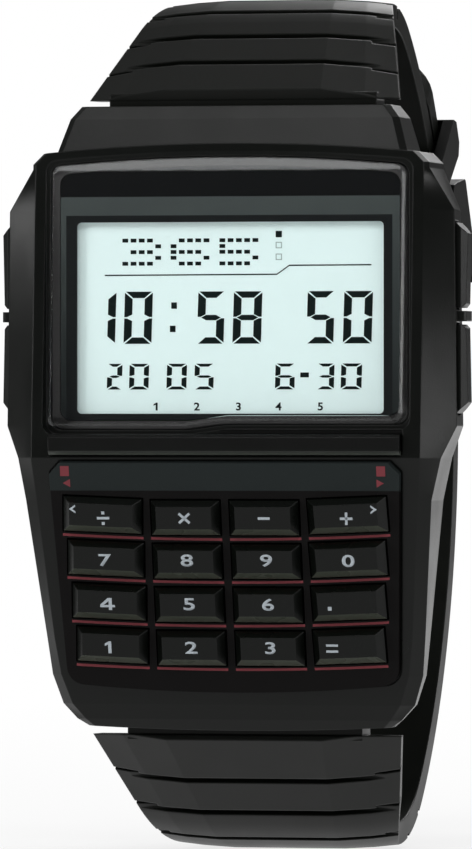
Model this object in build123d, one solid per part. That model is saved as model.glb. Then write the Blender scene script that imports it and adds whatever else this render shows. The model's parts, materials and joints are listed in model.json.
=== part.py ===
from build123d import *
from math import atan2, cos, degrees, radians, sin, sqrt, tan
import os

os.makedirs("parts", exist_ok=True)

# Wristwatch with a keypad, standing as worn on an upright wrist.
# The dial faces -Y, the 12 o'clock end is +Z, 3 o'clock is +X.
# The origin is the centre of the back plate's outer face. Depths count back from the dial's front.

# Case, outside: the display's part leans back towards 12 o'clock, the keypad's part towards 6 o'clock
case_thick = 12.0
display_tilt = 3.8
keypad_tilt = 11.5
rim_half = 15.6
rim_depth = 1.1
rim_top = 21.2
rim_arch = 0.6
rim_corner = 1.6
rim_corner_foot = 20.2
wing_half = 17.9
wing_depth = 3.4
wing_draft = 0.6
side_low_depth = 8.8
side_draft = 0.4
wing_start = 19.8
wing_top = 16.5
wing_foot = -0.4
wing_foot_half = 18.1
knee = -2.9
knee_half = 17.0
knee_depth = 2.5
waist = -6.2
waist_half = 16.3
waist_rim_half = 15.3
waist_side_drop = 0.5
toe = -17.1
toe_half = 15.25
toe_rim_half = 14.4
toe_side_drop = 1.0
instep = -20.0
instep_half = 14.95
instep_rim_half = 14.0
heel = -22.3
heel_half = 14.2
heel_rim_half = 13.2
ball = -23.5
ball_half = 13.1
ball_rim_half = 12.3
ball_depth = 5.7
case_foot = -24.4
foot_half = 11.7
foot_depth = 6.4
foot_arch = 0.8
back_chamfer = 1.2
edge_round = 0.35

# Hood over the strap at 12 o'clock
hood_top = 24.8
hood_base_half = 13.75
hood_top_half = 12.45
hood_top_depth = 4.6
hood_facet = 0.5
hood_step = 0.35
hood_corner = 1.0

# Case, inside
cavity_half = 13.2
cavity_low_half = 12.2
cavity_reach = 16.6
post_side = 2.0
post_front_depth = 7.8
fit_gap = 0.1
overrun = 1.0
rod_sides = 12
disc_sides = 32

# Crystal and display
crystal_half = 14.3
crystal_top = 20.0
crystal_arch = 0.7
crystal_foot = -0.6
crystal_step = 0.4
crystal_step_start = -3.2
crystal_step_run = 3.0
crystal_proud = 0.65
crystal_back_depth = 2.9
crystal_bevel = 0.3
crystal_top_bevel = 1.1
crystal_top_drop = 0.4
crystal_corner = 0.9
crystal_groove = 0.45
crystal_seat = 0.2
gasket_thick = 0.25
gasket_wide = 0.6
mask_thick = 0.2
window_half = 12.35
window_foot = 0.57
window_high = 15.05
window_corner = 0.35
lcd_margin = 0.35
lcd_thick = 0.95
backlight_thick = 0.4
stack_gap = 0.05

# Divider bar between crystal and keypad
bar_half = 14.1
bar_top = -1.05
bar_high = 1.6
bar_front_depth = 0.5
bar_thick = 1.2
bar_chamfer = 0.25

# Keypad
panel_top = -3.3
panel_top_depth = 0.53
panel_half = 14.1
panel_foot_half = 13.3
panel_long = 18.4
panel_arch = 0.7
panel_corner = 1.4
panel_top_corner = 0.9
panel_thick = 0.9
key_first_row = 4.35
key_last_row = 3.58
key_row_gap = 0.74
key_inner_wide = 5.5
key_outer_wide = 6.3
key_outer_taper = 0.2
key_middle_gap = 0.83
key_column_gap = 0.78
key_outer_turn = 2.4
key_outer_lift = 0.22
key_foot_high = 0.12
key_proud = 0.85
key_top_wide_share = 0.8
key_top_high_share = 0.64
key_top_shift = 0.12
key_window_gap = 0.12
key_flange = 0.25
key_flange_thick = 0.3
key_flange_gap = 0.05
key_travel = 0.4
key_rest_gap = 0.06
membrane_thick = 0.5
membrane_margin = 0.5
sheet_thick = 0.2
well_lip = 1.2

# Side pushers, with a guard between the two of each side
pusher_upper_top = 15.5
pusher_upper_foot = 8.85
pusher_lower_top = 7.55
pusher_lower_foot = 0.6
pusher_far_proud = 0.85
pusher_near_proud = 0.7
pusher_far_ramp = 0.85
pusher_near_ramp = 0.3
pusher_front_depth = 4.1
pusher_back_depth = 6.5
pusher_cap_thick = 1.5
pusher_chamfer = 0.5
pusher_gap = 0.15
pusher_travel = 0.5
pusher_floor_gap = 0.15
guard_proud = 0.8
guard_high = 0.8
guard_chamfer = 0.2
stem_radius = 0.65
stem_gap = 0.05
stem_tail = 0.35
groove_radius = 0.4
clip_thick = 0.3
clip_radius = 0.85
clip_offset = 0.1
clip_gap = 0.02
seal_thick = 0.7
seal_radius = 1.0
seal_gap = 0.02
contact_thick = 0.2
contact_wide = 2.0
contact_foot = 0.8
contact_spare = 0.1
stem_room = 1.7

# Module
frame_margin = 0.15
board_depth = 6.6
board_thick = 0.7
board_margin = 0.3
connector_wide = 20.0
connector_high = 0.9
housing_margin = 0.25
housing_back_depth = 10.7
chip_side = 5.0
chip_thick = 0.7
chip_x = -5.5
chip_z = 12.6
quartz_radius = 0.7
quartz_long = 5.0
quartz_x = 3.0
quartz_z = 13.2
battery_radius = 10.0
battery_thick = 2.5
battery_lip = 0.5
battery_lip_inset = 1.4
battery_floor = 0.75
battery_z = -0.6
battery_gap = 0.15
clip_strip_wide = 4.0
clip_strip_thick = 0.15
clip_leg_long = 1.6
buzzer_radius = 5.0
buzzer_thick = 0.2
buzzer_core_radius = 3.6
buzzer_core_thick = 0.12
buzzer_z = 10.2
leaf_wide = 1.2
leaf_thick = 0.15
leaf_x = 4.3
leaf_z = 10.7
leaf_foot = 1.4

# Back plate
back_half = 13.9
back_reach = 17.4
back_corner_cut = 1.5
back_corner_second_cut = 0.6
back_thick = 0.8
back_round = 0.25
groove_deep_back = 0.3
groove_wide_back = 0.42
back_gasket_inset = 0.14
screw_radius = 0.45
screw_gap = 0.05
screw_head_radius = 0.85
screw_head_high = 0.35
screw_long = 3.0
screw_inset = 1.55

# Strap ends on the case
bar_place = 21.5
bar_12_depth = 9.0
bar_6_depth = 9.7
tongue_12_half = 10.8
tongue_6_half = 9.5
tongue_radius = 1.5
slot_gap = 0.45
spring_bar_radius = 0.65
spring_bar_tip_radius = 0.4
spring_bar_tip_long = 0.8
spring_bar_shoulder = 0.15
spring_bar_gap = 0.05

# Strap
strap_thick = 2.2
strap_12_gap = 0.55
strap_6_gap = 0.4
strap_start_half = 12.9
strap_12_bend_half = 10.35
strap_6_bend_half = 10.6
strap_back_half = 8.8
crown_flat_share = 0.5
crown_mid_share = 0.78
crown_mid_drop = 0.45
crown_side_drop = 0.65
crown_power = 3
strap_12_edge = 25.4
strap_12_edge_depth = 6.2
strap_12_rise = 33.2
strap_12_bend = 12.5
strap_6_edge = 24.4
strap_6_edge_depth = 6.6
strap_6_rise = 35.7
strap_6_bend = 15.0
loop_radius = 40.3
layer_gap = 0.25
ridge_12_first = 5.6
ridge_12_pitch = 4.0
ridge_6_first = 7.2
ridge_6_pitch = 4.6
first_slot_long = 1.9
first_slot_deep = 1.1
groove_wide = 0.9
groove_foot_share = 0.67
groove_deep = 0.6
side_groove_wide = 0.45
side_groove_deep = 0.3
side_groove_shift = 0.45
side_groove_gap = 0.6
strap_12_groove_count = 5
strap_6_groove_count = 6
tail_tip_angle = 49.0
tail_tip_corner = 4.5
hole_long = 2.6
hole_wide = 1.8
hole_chamfer = 0.6
hole_pitch_angle = 8.6
hole_worn_angle = 20.5
holes_before_count = 5
holes_after_count = 2

# Clasp
clasp_angle = 29.8
clasp_bar_radius = 0.6
clasp_tip_radius = 0.35
tip_share = 0.65
keeper_start_angle = 32.6
keeper_end_angle = 37.6
keeper_cut_angle = 1.0
keeper_thick = 0.9
keeper_gap = 0.3
keeper_corner = 0.8
frame_shoulder_angle = 28.8
frame_shoulder_radius = 0.6
frame_far_angle = 16.5
frame_bar_angle = 3.2
frame_bar_gap = 0.3
frame_bar_thick = 1.3
frame_gap = 0.3
frame_side = 1.2
frame_eye_radius = 1.35
prong_wide = 1.6
prong_thick = 0.7
prong_gap = 0.25
prong_eye_radius = 1.05
prong_end_angle = 18.2


def deep(depth):
    """Y of a depth behind the dial's front."""
    return depth - case_thick


def front_prism(face, back_depth, front_depth):
    """A face drawn in X and Z, filled from one depth forward to another."""
    plane = Plane(origin=(0, deep(back_depth), 0), x_dir=(1, 0, 0), z_dir=(0, -1, 0))
    return extrude(plane * face, amount=back_depth - front_depth)


def side_prism(face, half):
    """A face drawn in Y and Z, filled to both sides of the middle."""
    return extrude(Plane.YZ * face, amount=half, both=True)


def outline(points):
    """A flat face inside straight edges."""
    return make_face(Polyline(*points, close=True))


def block(x_ends, depth_ends, z_ends):
    """A box between two places on each axis, given in any order."""
    x_low, x_high = sorted(x_ends)
    front_depth, back_depth = sorted(depth_ends)
    z_low, z_high = sorted(z_ends)
    centre = ((x_low + x_high) / 2, deep((front_depth + back_depth) / 2), (z_low + z_high) / 2)
    return Pos(*centre) * Box(x_high - x_low, back_depth - front_depth, z_high - z_low)


def rod_x(radius, x_ends, depth, z):
    """A small rod along X, its outline a many-sided polygon."""
    x_low, x_high = sorted(x_ends)
    plane = Plane(origin=(x_low, deep(depth), z), x_dir=(0, 1, 0), z_dir=(1, 0, 0))
    return extrude(plane * RegularPolygon(radius, rod_sides), amount=x_high - x_low)


def rod_y(radius, depth_ends, x, z, sides=rod_sides):
    """A rod or disc along the depth, its outline a many-sided polygon."""
    front_depth, back_depth = sorted(depth_ends)
    return front_prism(Pos(x, z) * RegularPolygon(radius, sides), back_depth, front_depth)


def both_ways(half):
    """The two places at equal distance either side of the middle."""
    return (-half, half)


def save(shape, name):
    """Writes one node."""
    export_step(shape, f"parts/{name}.step")


# Places worked out from the sizes above
tilt = radians(keypad_tilt)
ledge_depth = crystal_back_depth + gasket_thick
lcd_depth = ledge_depth + mask_thick + stack_gap
backlight_depth = lcd_depth + lcd_thick + stack_gap
board_back_depth = board_depth + board_thick
window_top = window_foot + window_high
shell_back_depth = case_thick - back_thick


def rim_depth_at(z):
    """Depth of the case's front at a height: least at the knee, leaning back both ways from there."""
    up = max(z - knee, 0) * tan(radians(display_tilt))
    down = max(knee - z, 0) * tan(tilt)
    return rim_depth + up + down


# Case shell
def case_section(z, front_half, front_depth, side_half, side_depth, draft=side_draft):
    """Eight-sided cross-section of the case at one height, its sides drawn in towards the back."""
    half = [
        (front_half, deep(front_depth)),
        (side_half, deep(side_depth)),
        (side_half - draft, deep(side_low_depth)),
        (side_half - draft - back_chamfer, deep(shell_back_depth)),
    ]
    mirrored = [(-x, y) for x, y in reversed(half)]
    return Plane(origin=(0, 0, z)) * outline(half + mirrored)


def shell_section(z, front_half, side_half, drop, draft=side_draft):
    """A case section whose side edge lies behind its front by a drop."""
    return case_section(z, front_half, rim_depth_at(z), side_half, rim_depth_at(z) + drop, draft)


shoulder_half = rim_half + edge_round
crest = rim_top + rim_arch
wing_top_depth = rim_depth_at(wing_top)
wing_foot_depth = rim_depth_at(wing_foot)
case_shell = loft(
    [
        shell_section(crest, rim_half - rim_corner, shoulder_half - rim_corner, rim_arch, 0),
        shell_section(rim_corner_foot, rim_half, shoulder_half, rim_arch, 0),
        shell_section(wing_start, rim_half, shoulder_half, rim_arch, 0),
        case_section(wing_top, rim_half, wing_top_depth, wing_half, wing_depth, wing_draft),
        case_section(wing_foot, rim_half, wing_foot_depth, wing_foot_half, wing_depth, wing_draft),
        case_section(knee, rim_half, rim_depth, knee_half, knee_depth),
        shell_section(waist, waist_rim_half, waist_half, waist_side_drop),
        shell_section(toe, toe_rim_half, toe_half, toe_side_drop),
        shell_section(instep, instep_rim_half, instep_half, toe_side_drop),
        shell_section(heel, heel_rim_half, heel_half, toe_side_drop),
        case_section(ball, ball_rim_half, ball_depth, ball_half, ball_depth + toe_side_drop / 2),
        case_section(case_foot, foot_half - edge_round, foot_depth, foot_half, foot_depth + edge_round, 0),
    ],
    ruled=True,
)

# The front view's arched top edge and bowed foot trim the shell
trim_half = wing_foot_half + overrun
top_edge = ThreePointArc(
    (-trim_half, rim_top - rim_arch),
    (0, rim_top + rim_arch),
    (trim_half, rim_top - rim_arch),
)
foot_edge = ThreePointArc(
    (trim_half, case_foot + foot_arch),
    (0, case_foot),
    (-trim_half, case_foot + foot_arch),
)
right_edge = Line(top_edge @ 1, foot_edge @ 0)
left_edge = Line(foot_edge @ 1, top_edge @ 0)
trim_face = make_face(top_edge + right_edge + foot_edge + left_edge)
case_shell = case_shell & front_prism(trim_face, case_thick, 0)


# Hood over the strap
def hood_section(z, half, front_depth):
    """Eight-sided cross-section of the hood at one height, with a narrow facet down each side."""
    points = [
        (half, deep(front_depth)),
        (half + hood_facet, deep(front_depth + hood_facet)),
        (half + hood_facet, deep(side_low_depth)),
        (half - back_chamfer / 2, deep(shell_back_depth)),
    ]
    mirrored = [(-x, y) for x, y in reversed(points)]
    return Plane(origin=(0, 0, z)) * outline(points + mirrored)


hood_base = rim_top - rim_arch
hood_base_depth = rim_depth_at(hood_base) + hood_step
hood_low_top = hood_top - hood_corner
hood_low_half = hood_top_half + (hood_base_half - hood_top_half) * hood_corner / (hood_top - hood_base)
hood = loft(
    [
        hood_section(wing_start, hood_base_half, hood_base_depth),
        hood_section(hood_base, hood_base_half, hood_base_depth),
        hood_section(hood_low_top, hood_low_half, hood_top_depth - hood_corner / 2),
        hood_section(hood_top, hood_top_half - hood_corner / 2, hood_top_depth),
    ],
    ruled=True,
)
case_shell = case_shell + hood


# Crystal outline, shared by the crystal, its gasket, its mask and its recess
def crystal_face(grow):
    """Front view of the crystal: arched top, foot edge stepped up past the middle."""
    half = crystal_half + grow
    top = crystal_top + grow
    foot = crystal_foot - grow
    step_end = crystal_step_start + crystal_step_run
    arch = ThreePointArc((-half, top), (0, top + crystal_arch), (half, top))
    sides = Polyline(
        (half, top),
        (half, foot + crystal_step),
        (step_end, foot + crystal_step),
        (crystal_step_start, foot),
        (-half, foot),
        (-half, top),
    )
    face = make_face(arch + sides)
    corners = face.vertices().filter_by(lambda v: abs(v.X) > half - fit_gap)
    return fillet(corners, crystal_corner)


# The crystal's seat, with an open groove round it in front of the seat
case_shell = case_shell - front_prism(crystal_face(fit_gap), ledge_depth, 0)
case_shell = case_shell - front_prism(crystal_face(crystal_groove), crystal_back_depth - crystal_seat, 0)

# Recess for the divider bar
bar_foot = bar_top - bar_high
bar_back_depth = bar_front_depth + bar_thick
case_shell = case_shell - block(
    both_ways(bar_half + fit_gap),
    (0, bar_back_depth),
    (bar_foot - fit_gap, crystal_foot - fit_gap),
)

# Room for the module, open at the back, with a post in each corner for the back plate's screws
room_front_depth = board_depth - stack_gap
upper_room = block(both_ways(cavity_half), (crystal_back_depth, case_thick), (0, cavity_reach))
lower_room = block(both_ways(cavity_low_half), (room_front_depth, case_thick), (-cavity_reach, overrun))
case_shell = case_shell - upper_room - lower_room
screw_x = back_half - screw_inset
screw_z = back_reach - screw_inset
screw_places = [(x, z) for x in both_ways(screw_x) for z in both_ways(screw_z)]


def screw_post(x, z, grow):
    """The square post round one screw, let into the corner of the room."""
    x_far = x + (post_side if x > 0 else -post_side)
    z_far = z + (post_side if z > 0 else -post_side)
    x_near = x - (post_side / 2 + grow if x > 0 else -post_side / 2 - grow)
    z_near = z - (post_side / 2 + grow if z > 0 else -post_side / 2 - grow)
    return block((x_near, x_far), (post_front_depth - grow, shell_back_depth), (z_near, z_far))


rooms = upper_room + lower_room
for x, z in screw_places:
    case_shell = case_shell + (screw_post(x, z, 0) & rooms)

# Keypad plane: its origin is the panel's top edge, its Y runs up the slope, its Z stands out of the keys
key_plane = Plane(
    origin=(0, deep(panel_top_depth), panel_top),
    x_dir=(1, 0, 0),
    z_dir=(0, -cos(tilt), -sin(tilt)),
)


def panel_face(grow):
    """The panel's front view: tapering sides, bowed foot, rounded corners."""
    foot = -panel_long - grow
    half = panel_half + grow
    foot_edge_half = panel_foot_half + grow
    corner_height = foot + panel_arch
    bow = ThreePointArc((foot_edge_half, corner_height), (0, foot), (-foot_edge_half, corner_height))
    sides = Polyline(
        (-foot_edge_half, corner_height),
        (-half, grow),
        (half, grow),
        (foot_edge_half, corner_height),
    )
    face = make_face(bow + sides)
    low = face.vertices().filter_by(lambda v: v.Y < foot / 2)
    face = fillet(low, panel_corner)
    high = face.vertices().filter_by(lambda v: v.Y > grow - fit_gap)
    return chamfer(high, panel_top_corner)


def key_prism(face, low, high):
    """A face drawn on the keypad, filled between two heights over the panel's front."""
    return extrude(key_plane.offset(low) * face, amount=high - low)


flange_high = -panel_thick - key_flange_gap
flange_low = flange_high - key_flange_thick
membrane_high = flange_low - key_travel - key_rest_gap
membrane_low = membrane_high - membrane_thick
sheet_low = membrane_low - stack_gap - sheet_thick
well_face = panel_face(-membrane_margin)
case_shell = case_shell - key_prism(panel_face(fit_gap), -panel_thick, overrun)
case_shell = case_shell - key_prism(well_face, sheet_low, overrun)
case_shell = case_shell - block(
    both_ways(cavity_low_half - well_lip),
    (rim_depth, board_depth),
    (well_lip - cavity_reach, panel_top - well_lip),
)

# Slots for the strap's tongues, with holes for the spring bars' tips
bar_reach = slot_gap + spring_bar_tip_long + spring_bar_gap
strap_ends = {1: (bar_12_depth, tongue_12_half), -1: (bar_6_depth, tongue_6_half)}
for side, (depth, tongue_half) in strap_ends.items():
    slot_front_depth = depth - tongue_radius - slot_gap
    slot_near = (bar_place - tongue_radius - slot_gap) * side
    slot_far = (hood_top + overrun) * side
    slot_ends = both_ways(tongue_half + slot_gap)
    slot = block(slot_ends, (slot_front_depth, case_thick), (slot_near, slot_far))
    tip_radius = spring_bar_tip_radius + spring_bar_gap
    tip_hole = rod_x(tip_radius, both_ways(tongue_half + bar_reach), depth, bar_place * side)
    case_shell = case_shell - slot - tip_hole

# Pockets, bores and ring seats for the side pushers
pusher_depth = (pusher_front_depth + pusher_back_depth) / 2
cap_far_x = wing_half + pusher_far_proud
cap_near_x = wing_half + pusher_near_proud
cap_inner_x = cap_near_x - pusher_cap_thick
pocket_floor_x = cap_inner_x - pusher_travel - pusher_floor_gap
ring_seat_x = pocket_floor_x - seal_thick - stack_gap
pushers = {
    "pusher_left_upper": (-1, pusher_upper_foot, pusher_upper_top),
    "pusher_left_lower": (-1, pusher_lower_top, pusher_lower_foot),
    "pusher_right_upper": (1, pusher_upper_foot, pusher_upper_top),
    "pusher_right_lower": (1, pusher_lower_top, pusher_lower_foot),
}
for side, near, far in pushers.values():
    middle = (near + far) / 2
    grow = pusher_gap if far > near else -pusher_gap
    pocket = block(
        (pocket_floor_x * side, (cap_far_x + overrun) * side),
        (pusher_front_depth - pusher_gap, pusher_back_depth + pusher_gap),
        (near - grow, far + grow),
    )
    bore_ends = ((cavity_half - overrun) * side, pocket_floor_x * side)
    bore = rod_x(stem_radius + stem_gap, bore_ends, pusher_depth, middle)
    ring_seat = rod_x(seal_radius, (ring_seat_x * side, pocket_floor_x * side), pusher_depth, middle)
    case_shell = case_shell - pocket - bore - ring_seat

# Guard between the two pushers of each side
guard_middle = (pusher_upper_foot + pusher_lower_top) / 2
for side in (1, -1):
    guard = block(
        (pocket_floor_x * side, (wing_half + guard_proud) * side),
        (pusher_front_depth, pusher_back_depth),
        (guard_middle - guard_high / 2, guard_middle + guard_high / 2),
    )
    guard_end = guard.faces().sort_by(Axis.X)[-1 if side > 0 else 0]
    case_shell = case_shell + chamfer(guard_end.edges().filter_by(Axis.Z), guard_chamfer)


# Back plate's outline, its sealing groove and the screw holes in the posts
def plate_face(inset):
    """Front view of the back plate, drawn in by an inset, its corners cut twice."""
    face = Rectangle((back_half - inset) * 2, (back_reach - inset) * 2)
    face = chamfer(face.vertices(), back_corner_cut)
    return chamfer(face.vertices(), back_corner_second_cut)


def plate_ring(inset, wide, back_depth, thick):
    """A band that follows the back plate's outline."""
    band = plate_face(inset) - plate_face(inset + wide)
    return front_prism(band, back_depth, back_depth - thick)


screw_foot_depth = case_thick - screw_long
sealing_groove = plate_ring(back_gasket_inset, groove_wide_back, shell_back_depth, groove_deep_back)
case_shell = case_shell - sealing_groove
for x, z in screw_places:
    hole = rod_y(screw_radius + screw_gap, (screw_foot_depth - screw_gap, case_thick), x, z)
    case_shell = case_shell - hole
save(case_shell, "case")

case_back = front_prism(plate_face(0), case_thick, shell_back_depth)
outer_rim = case_back.faces().sort_by(Axis.Y)[-1].edges()
case_back = chamfer(outer_rim, back_round)
for x, z in screw_places:
    hole = rod_y(screw_radius + screw_gap, (shell_back_depth - overrun, case_thick + overrun), x, z)
    head_seat_depth = case_thick - screw_head_high
    seat = rod_y(screw_head_radius + screw_gap, (head_seat_depth, case_thick + overrun), x, z)
    case_back = case_back - hole - seat
save(case_back, "case_back")

screws = [
    rod_y(screw_head_radius, (head_seat_depth, case_thick), x, z)
    + rod_y(screw_radius, (screw_foot_depth, head_seat_depth), x, z)
    for x, z in screw_places
]
save(Compound(screws), "case_back_screws")

gasket_inset = back_gasket_inset + stack_gap
gasket_wide_back = groove_wide_back - stack_gap * 2
save(plate_ring(gasket_inset, gasket_wide_back, shell_back_depth, groove_deep_back), "back_gasket")

# Crystal on its gasket: it stands proud of the rim and leans with it, its top edge sloped off
crystal = front_prism(crystal_face(0), crystal_back_depth, 0)
slope_start = crystal_top + crystal_arch - crystal_top_bevel
crystal_low = crystal_foot - overrun
crystal_high = crystal_top + overrun
slope_end_depth = rim_depth_at(crystal_high) - crystal_proud + crystal_top_drop
crystal_side = [
    (deep(rim_depth_at(crystal_low) - crystal_proud), crystal_low),
    (deep(rim_depth_at(slope_start) - crystal_proud), slope_start),
    (deep(slope_end_depth), crystal_high),
    (deep(crystal_back_depth), crystal_high),
    (deep(crystal_back_depth), crystal_low),
]
crystal = crystal & side_prism(outline(crystal_side), crystal_half + overrun)
crystal_front = crystal.faces().sort_by(lambda face: face.normal_at().Y * face.area)[0]
rim_edges = crystal_front.edges().filter_by(lambda edge: abs(edge.center().Z - slope_start) > fit_gap)
save(chamfer(rim_edges, crystal_bevel), "crystal")
gasket = front_prism(crystal_face(0) - crystal_face(-gasket_wide), ledge_depth, crystal_back_depth)
save(gasket, "crystal_gasket")

# Printed surround with the display's window
window_middle = window_foot + window_high / 2
window_face = Pos(0, window_middle) * RectangleRounded(window_half * 2, window_high, window_corner)
mask_face = crystal_face(-gasket_wide - stack_gap) - window_face
mask_back_depth = crystal_back_depth + stack_gap / 2 + mask_thick
save(front_prism(mask_face, mask_back_depth, crystal_back_depth + stack_gap / 2), "display_mask")

# Seats of the stem parts, counted inward from the room's wall
clip_outer_x = cavity_half - clip_offset
clip_inner_x = clip_outer_x - clip_thick
stem_end_x = clip_inner_x - stem_tail
contact_x = stem_end_x - pusher_travel - contact_spare
notch_x = contact_x - contact_thick - contact_spare

# Display stack behind the window
glass_ends = (window_foot - lcd_margin, window_top + lcd_margin)
glass_half = window_half + lcd_margin
lcd_ends = (lcd_depth, lcd_depth + lcd_thick)
lcd_cell = block(both_ways(glass_half), lcd_ends, glass_ends)
save(lcd_cell, "lcd_cell")

light_ends = (glass_ends[0] + connector_high + stack_gap * 2, glass_ends[1] - connector_high - stack_gap * 2)
light_half = notch_x - stack_gap * 2
backlight_back_depth = backlight_depth + backlight_thick
backlight = block(both_ways(light_half), (backlight_depth, backlight_back_depth), light_ends)
save(backlight, "backlight_panel")

connector_ends = (lcd_depth + lcd_thick, board_depth)
connectors = [
    block(both_ways(connector_wide / 2), connector_ends, (glass_ends[0], glass_ends[0] + connector_high)),
    block(both_ways(connector_wide / 2), connector_ends, (glass_ends[1] - connector_high, glass_ends[1])),
]
save(Compound(connectors), "lcd_connectors")

# Frame that carries the display on the board, notched for the pushers' stems
frame_half = cavity_half - frame_margin
frame_ends = (frame_margin, cavity_reach - frame_margin)
frame_front_depth = lcd_depth + lcd_thick + stack_gap / 2
display_frame = block(both_ways(frame_half), (frame_front_depth, board_depth), frame_ends)
light_pocket = block(
    both_ways(light_half + stack_gap),
    (frame_front_depth - overrun, backlight_back_depth),
    (light_ends[0] - stack_gap, light_ends[1] + stack_gap),
)
display_frame = display_frame - light_pocket
for foot in (glass_ends[0], glass_ends[1] - connector_high):
    display_frame = display_frame - block(
        both_ways(connector_wide / 2 + stack_gap),
        (frame_front_depth - overrun, board_depth + overrun),
        (foot - stack_gap, foot + connector_high + stack_gap),
    )

for side, near, far in pushers.values():
    middle = (near + far) / 2
    display_frame = display_frame - block(
        (notch_x * side, (cavity_half + overrun) * side),
        (frame_front_depth - overrun, board_depth + overrun),
        (middle - stem_room, middle + stem_room),
    )
save(display_frame, "display_frame")

# Board, one outline for the display and the keypad
board_upper_half = cavity_half - board_margin
board_lower_half = cavity_low_half - board_margin
board_ends = (board_depth, board_back_depth)
board = block(both_ways(board_upper_half), board_ends, (board_margin, cavity_reach - board_margin))
board = board + block(both_ways(board_lower_half), board_ends, (board_margin - cavity_reach, overrun))
save(board, "circuit_board")

contacts = []
for side, near, far in pushers.values():
    middle = (near + far) / 2
    z_ends = (middle - contact_wide / 2, middle + contact_wide / 2)
    blade_x = (contact_x * side, (contact_x - contact_thick) * side)
    blade = block(blade_x, (frame_front_depth, board_depth), z_ends)
    foot_ends = (board_depth - contact_thick, board_depth)
    base = block((contact_x * side, (contact_x + contact_foot) * side), foot_ends, z_ends)
    contacts.append(blade + base)
save(Compound(contacts), "pusher_contacts")

# Parts on the back of the board
chip_ends = (board_back_depth, board_back_depth + chip_thick)
chip_span = (chip_x - chip_side / 2, chip_x + chip_side / 2)
save(block(chip_span, chip_ends, (chip_z - chip_side / 2, chip_z + chip_side / 2)), "processor_chip")
quartz_depth = board_back_depth + quartz_radius
quartz_span = (quartz_x - quartz_long / 2, quartz_x + quartz_long / 2)
save(rod_x(quartz_radius, quartz_span, quartz_depth, quartz_z), "quartz_oscillator")

# Housing behind the board with its pockets
housing_front_depth = board_back_depth + stack_gap
housing_ends = (housing_front_depth, housing_back_depth)
housing_upper_half = cavity_half - housing_margin
housing_lower_half = cavity_low_half - housing_margin
housing = block(both_ways(housing_upper_half), housing_ends, (housing_margin, cavity_reach - housing_margin))
housing = housing + block(
    both_ways(housing_lower_half), housing_ends, (housing_margin - cavity_reach, overrun)
)
for x, z in screw_places:
    housing = housing - screw_post(x, z, stack_gap * 2)
battery_front_depth = housing_front_depth + battery_floor
battery_back_depth = battery_front_depth + battery_thick
pocket_ends = (battery_front_depth, housing_back_depth + overrun)
housing = housing - rod_y(battery_radius + battery_gap, pocket_ends, 0, battery_z, disc_sides)
leg_span = battery_radius + clip_strip_thick + battery_gap * 2
housing = housing - block(
    both_ways(leg_span + stack_gap),
    pocket_ends,
    (battery_z - clip_strip_wide / 2 - stack_gap, battery_z + clip_strip_wide / 2 + stack_gap),
)
chip_room = (housing_front_depth - overrun, board_back_depth + chip_thick + fit_gap)
housing = housing - block(
    (chip_span[0] - fit_gap, chip_span[1] + fit_gap),
    chip_room,
    (chip_z - chip_side / 2 - fit_gap, chip_z + chip_side / 2 + fit_gap),
)
housing = housing - block(
    (quartz_span[0] - fit_gap, quartz_span[1] + fit_gap),
    (housing_front_depth - overrun, board_back_depth + quartz_radius * 2 + fit_gap),
    (quartz_z - quartz_radius - fit_gap, quartz_z + quartz_radius + fit_gap),
)
leaf_room = leaf_wide / 2 + fit_gap
housing = housing - block(
    (leaf_x - leaf_foot - fit_gap, leaf_x + leaf_foot + fit_gap),
    (housing_front_depth - overrun, housing_back_depth + overrun),
    (leaf_z - leaf_room, leaf_z + leaf_room),
)
save(housing, "module_housing")

# Battery, its clip and the sounder with its leaf
lip_back_depth = battery_front_depth + battery_lip
battery = rod_y(battery_radius, (lip_back_depth, battery_back_depth), 0, battery_z, disc_sides)
lip_radius = battery_radius - battery_lip_inset
battery = battery + rod_y(lip_radius, (battery_front_depth, lip_back_depth), 0, battery_z, disc_sides)
save(battery, "battery")

clip_back_depth = battery_back_depth + clip_strip_thick
clip_z_ends = (battery_z - clip_strip_wide / 2, battery_z + clip_strip_wide / 2)
battery_clip = block(both_ways(leg_span), (battery_back_depth, clip_back_depth), clip_z_ends)
for side in (1, -1):
    leg_ends = (clip_back_depth - clip_leg_long, clip_back_depth)
    leg_x = (leg_span * side, (leg_span - clip_strip_thick) * side)
    battery_clip = battery_clip + block(leg_x, leg_ends, clip_z_ends)
save(battery_clip, "battery_clip")

buzzer_front_depth = shell_back_depth - buzzer_thick
buzzer = rod_y(buzzer_radius, (buzzer_front_depth, shell_back_depth), 0, buzzer_z, disc_sides)
core_front_depth = buzzer_front_depth - buzzer_core_thick
core_ends = (core_front_depth, buzzer_front_depth)
buzzer = buzzer + rod_y(buzzer_core_radius, core_ends, 0, buzzer_z, disc_sides)
save(buzzer, "piezo_buzzer")

leaf_back_depth = core_front_depth - stack_gap
leaf_z_ends = (leaf_z - leaf_wide / 2, leaf_z + leaf_wide / 2)
leaf_base_ends = (board_back_depth, board_back_depth + leaf_thick)
leaf_tip_ends = (leaf_back_depth - leaf_thick, leaf_back_depth)
leaf_riser = block((leaf_x, leaf_x + leaf_thick), (board_back_depth, leaf_back_depth), leaf_z_ends)
leaf_base = block((leaf_x, leaf_x + leaf_foot), leaf_base_ends, leaf_z_ends)
leaf_tip = block((leaf_x - leaf_foot, leaf_x), leaf_tip_ends, leaf_z_ends)
save(leaf_riser + leaf_base + leaf_tip, "buzzer_contact")

# Divider bar
divider = block(both_ways(bar_half), (bar_front_depth, bar_back_depth), (bar_foot, bar_top))
bar_edges = divider.faces().sort_by(Axis.Y)[0].edges().filter_by(Axis.X)
save(chamfer(bar_edges, bar_chamfer), "divider_bar")

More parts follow.
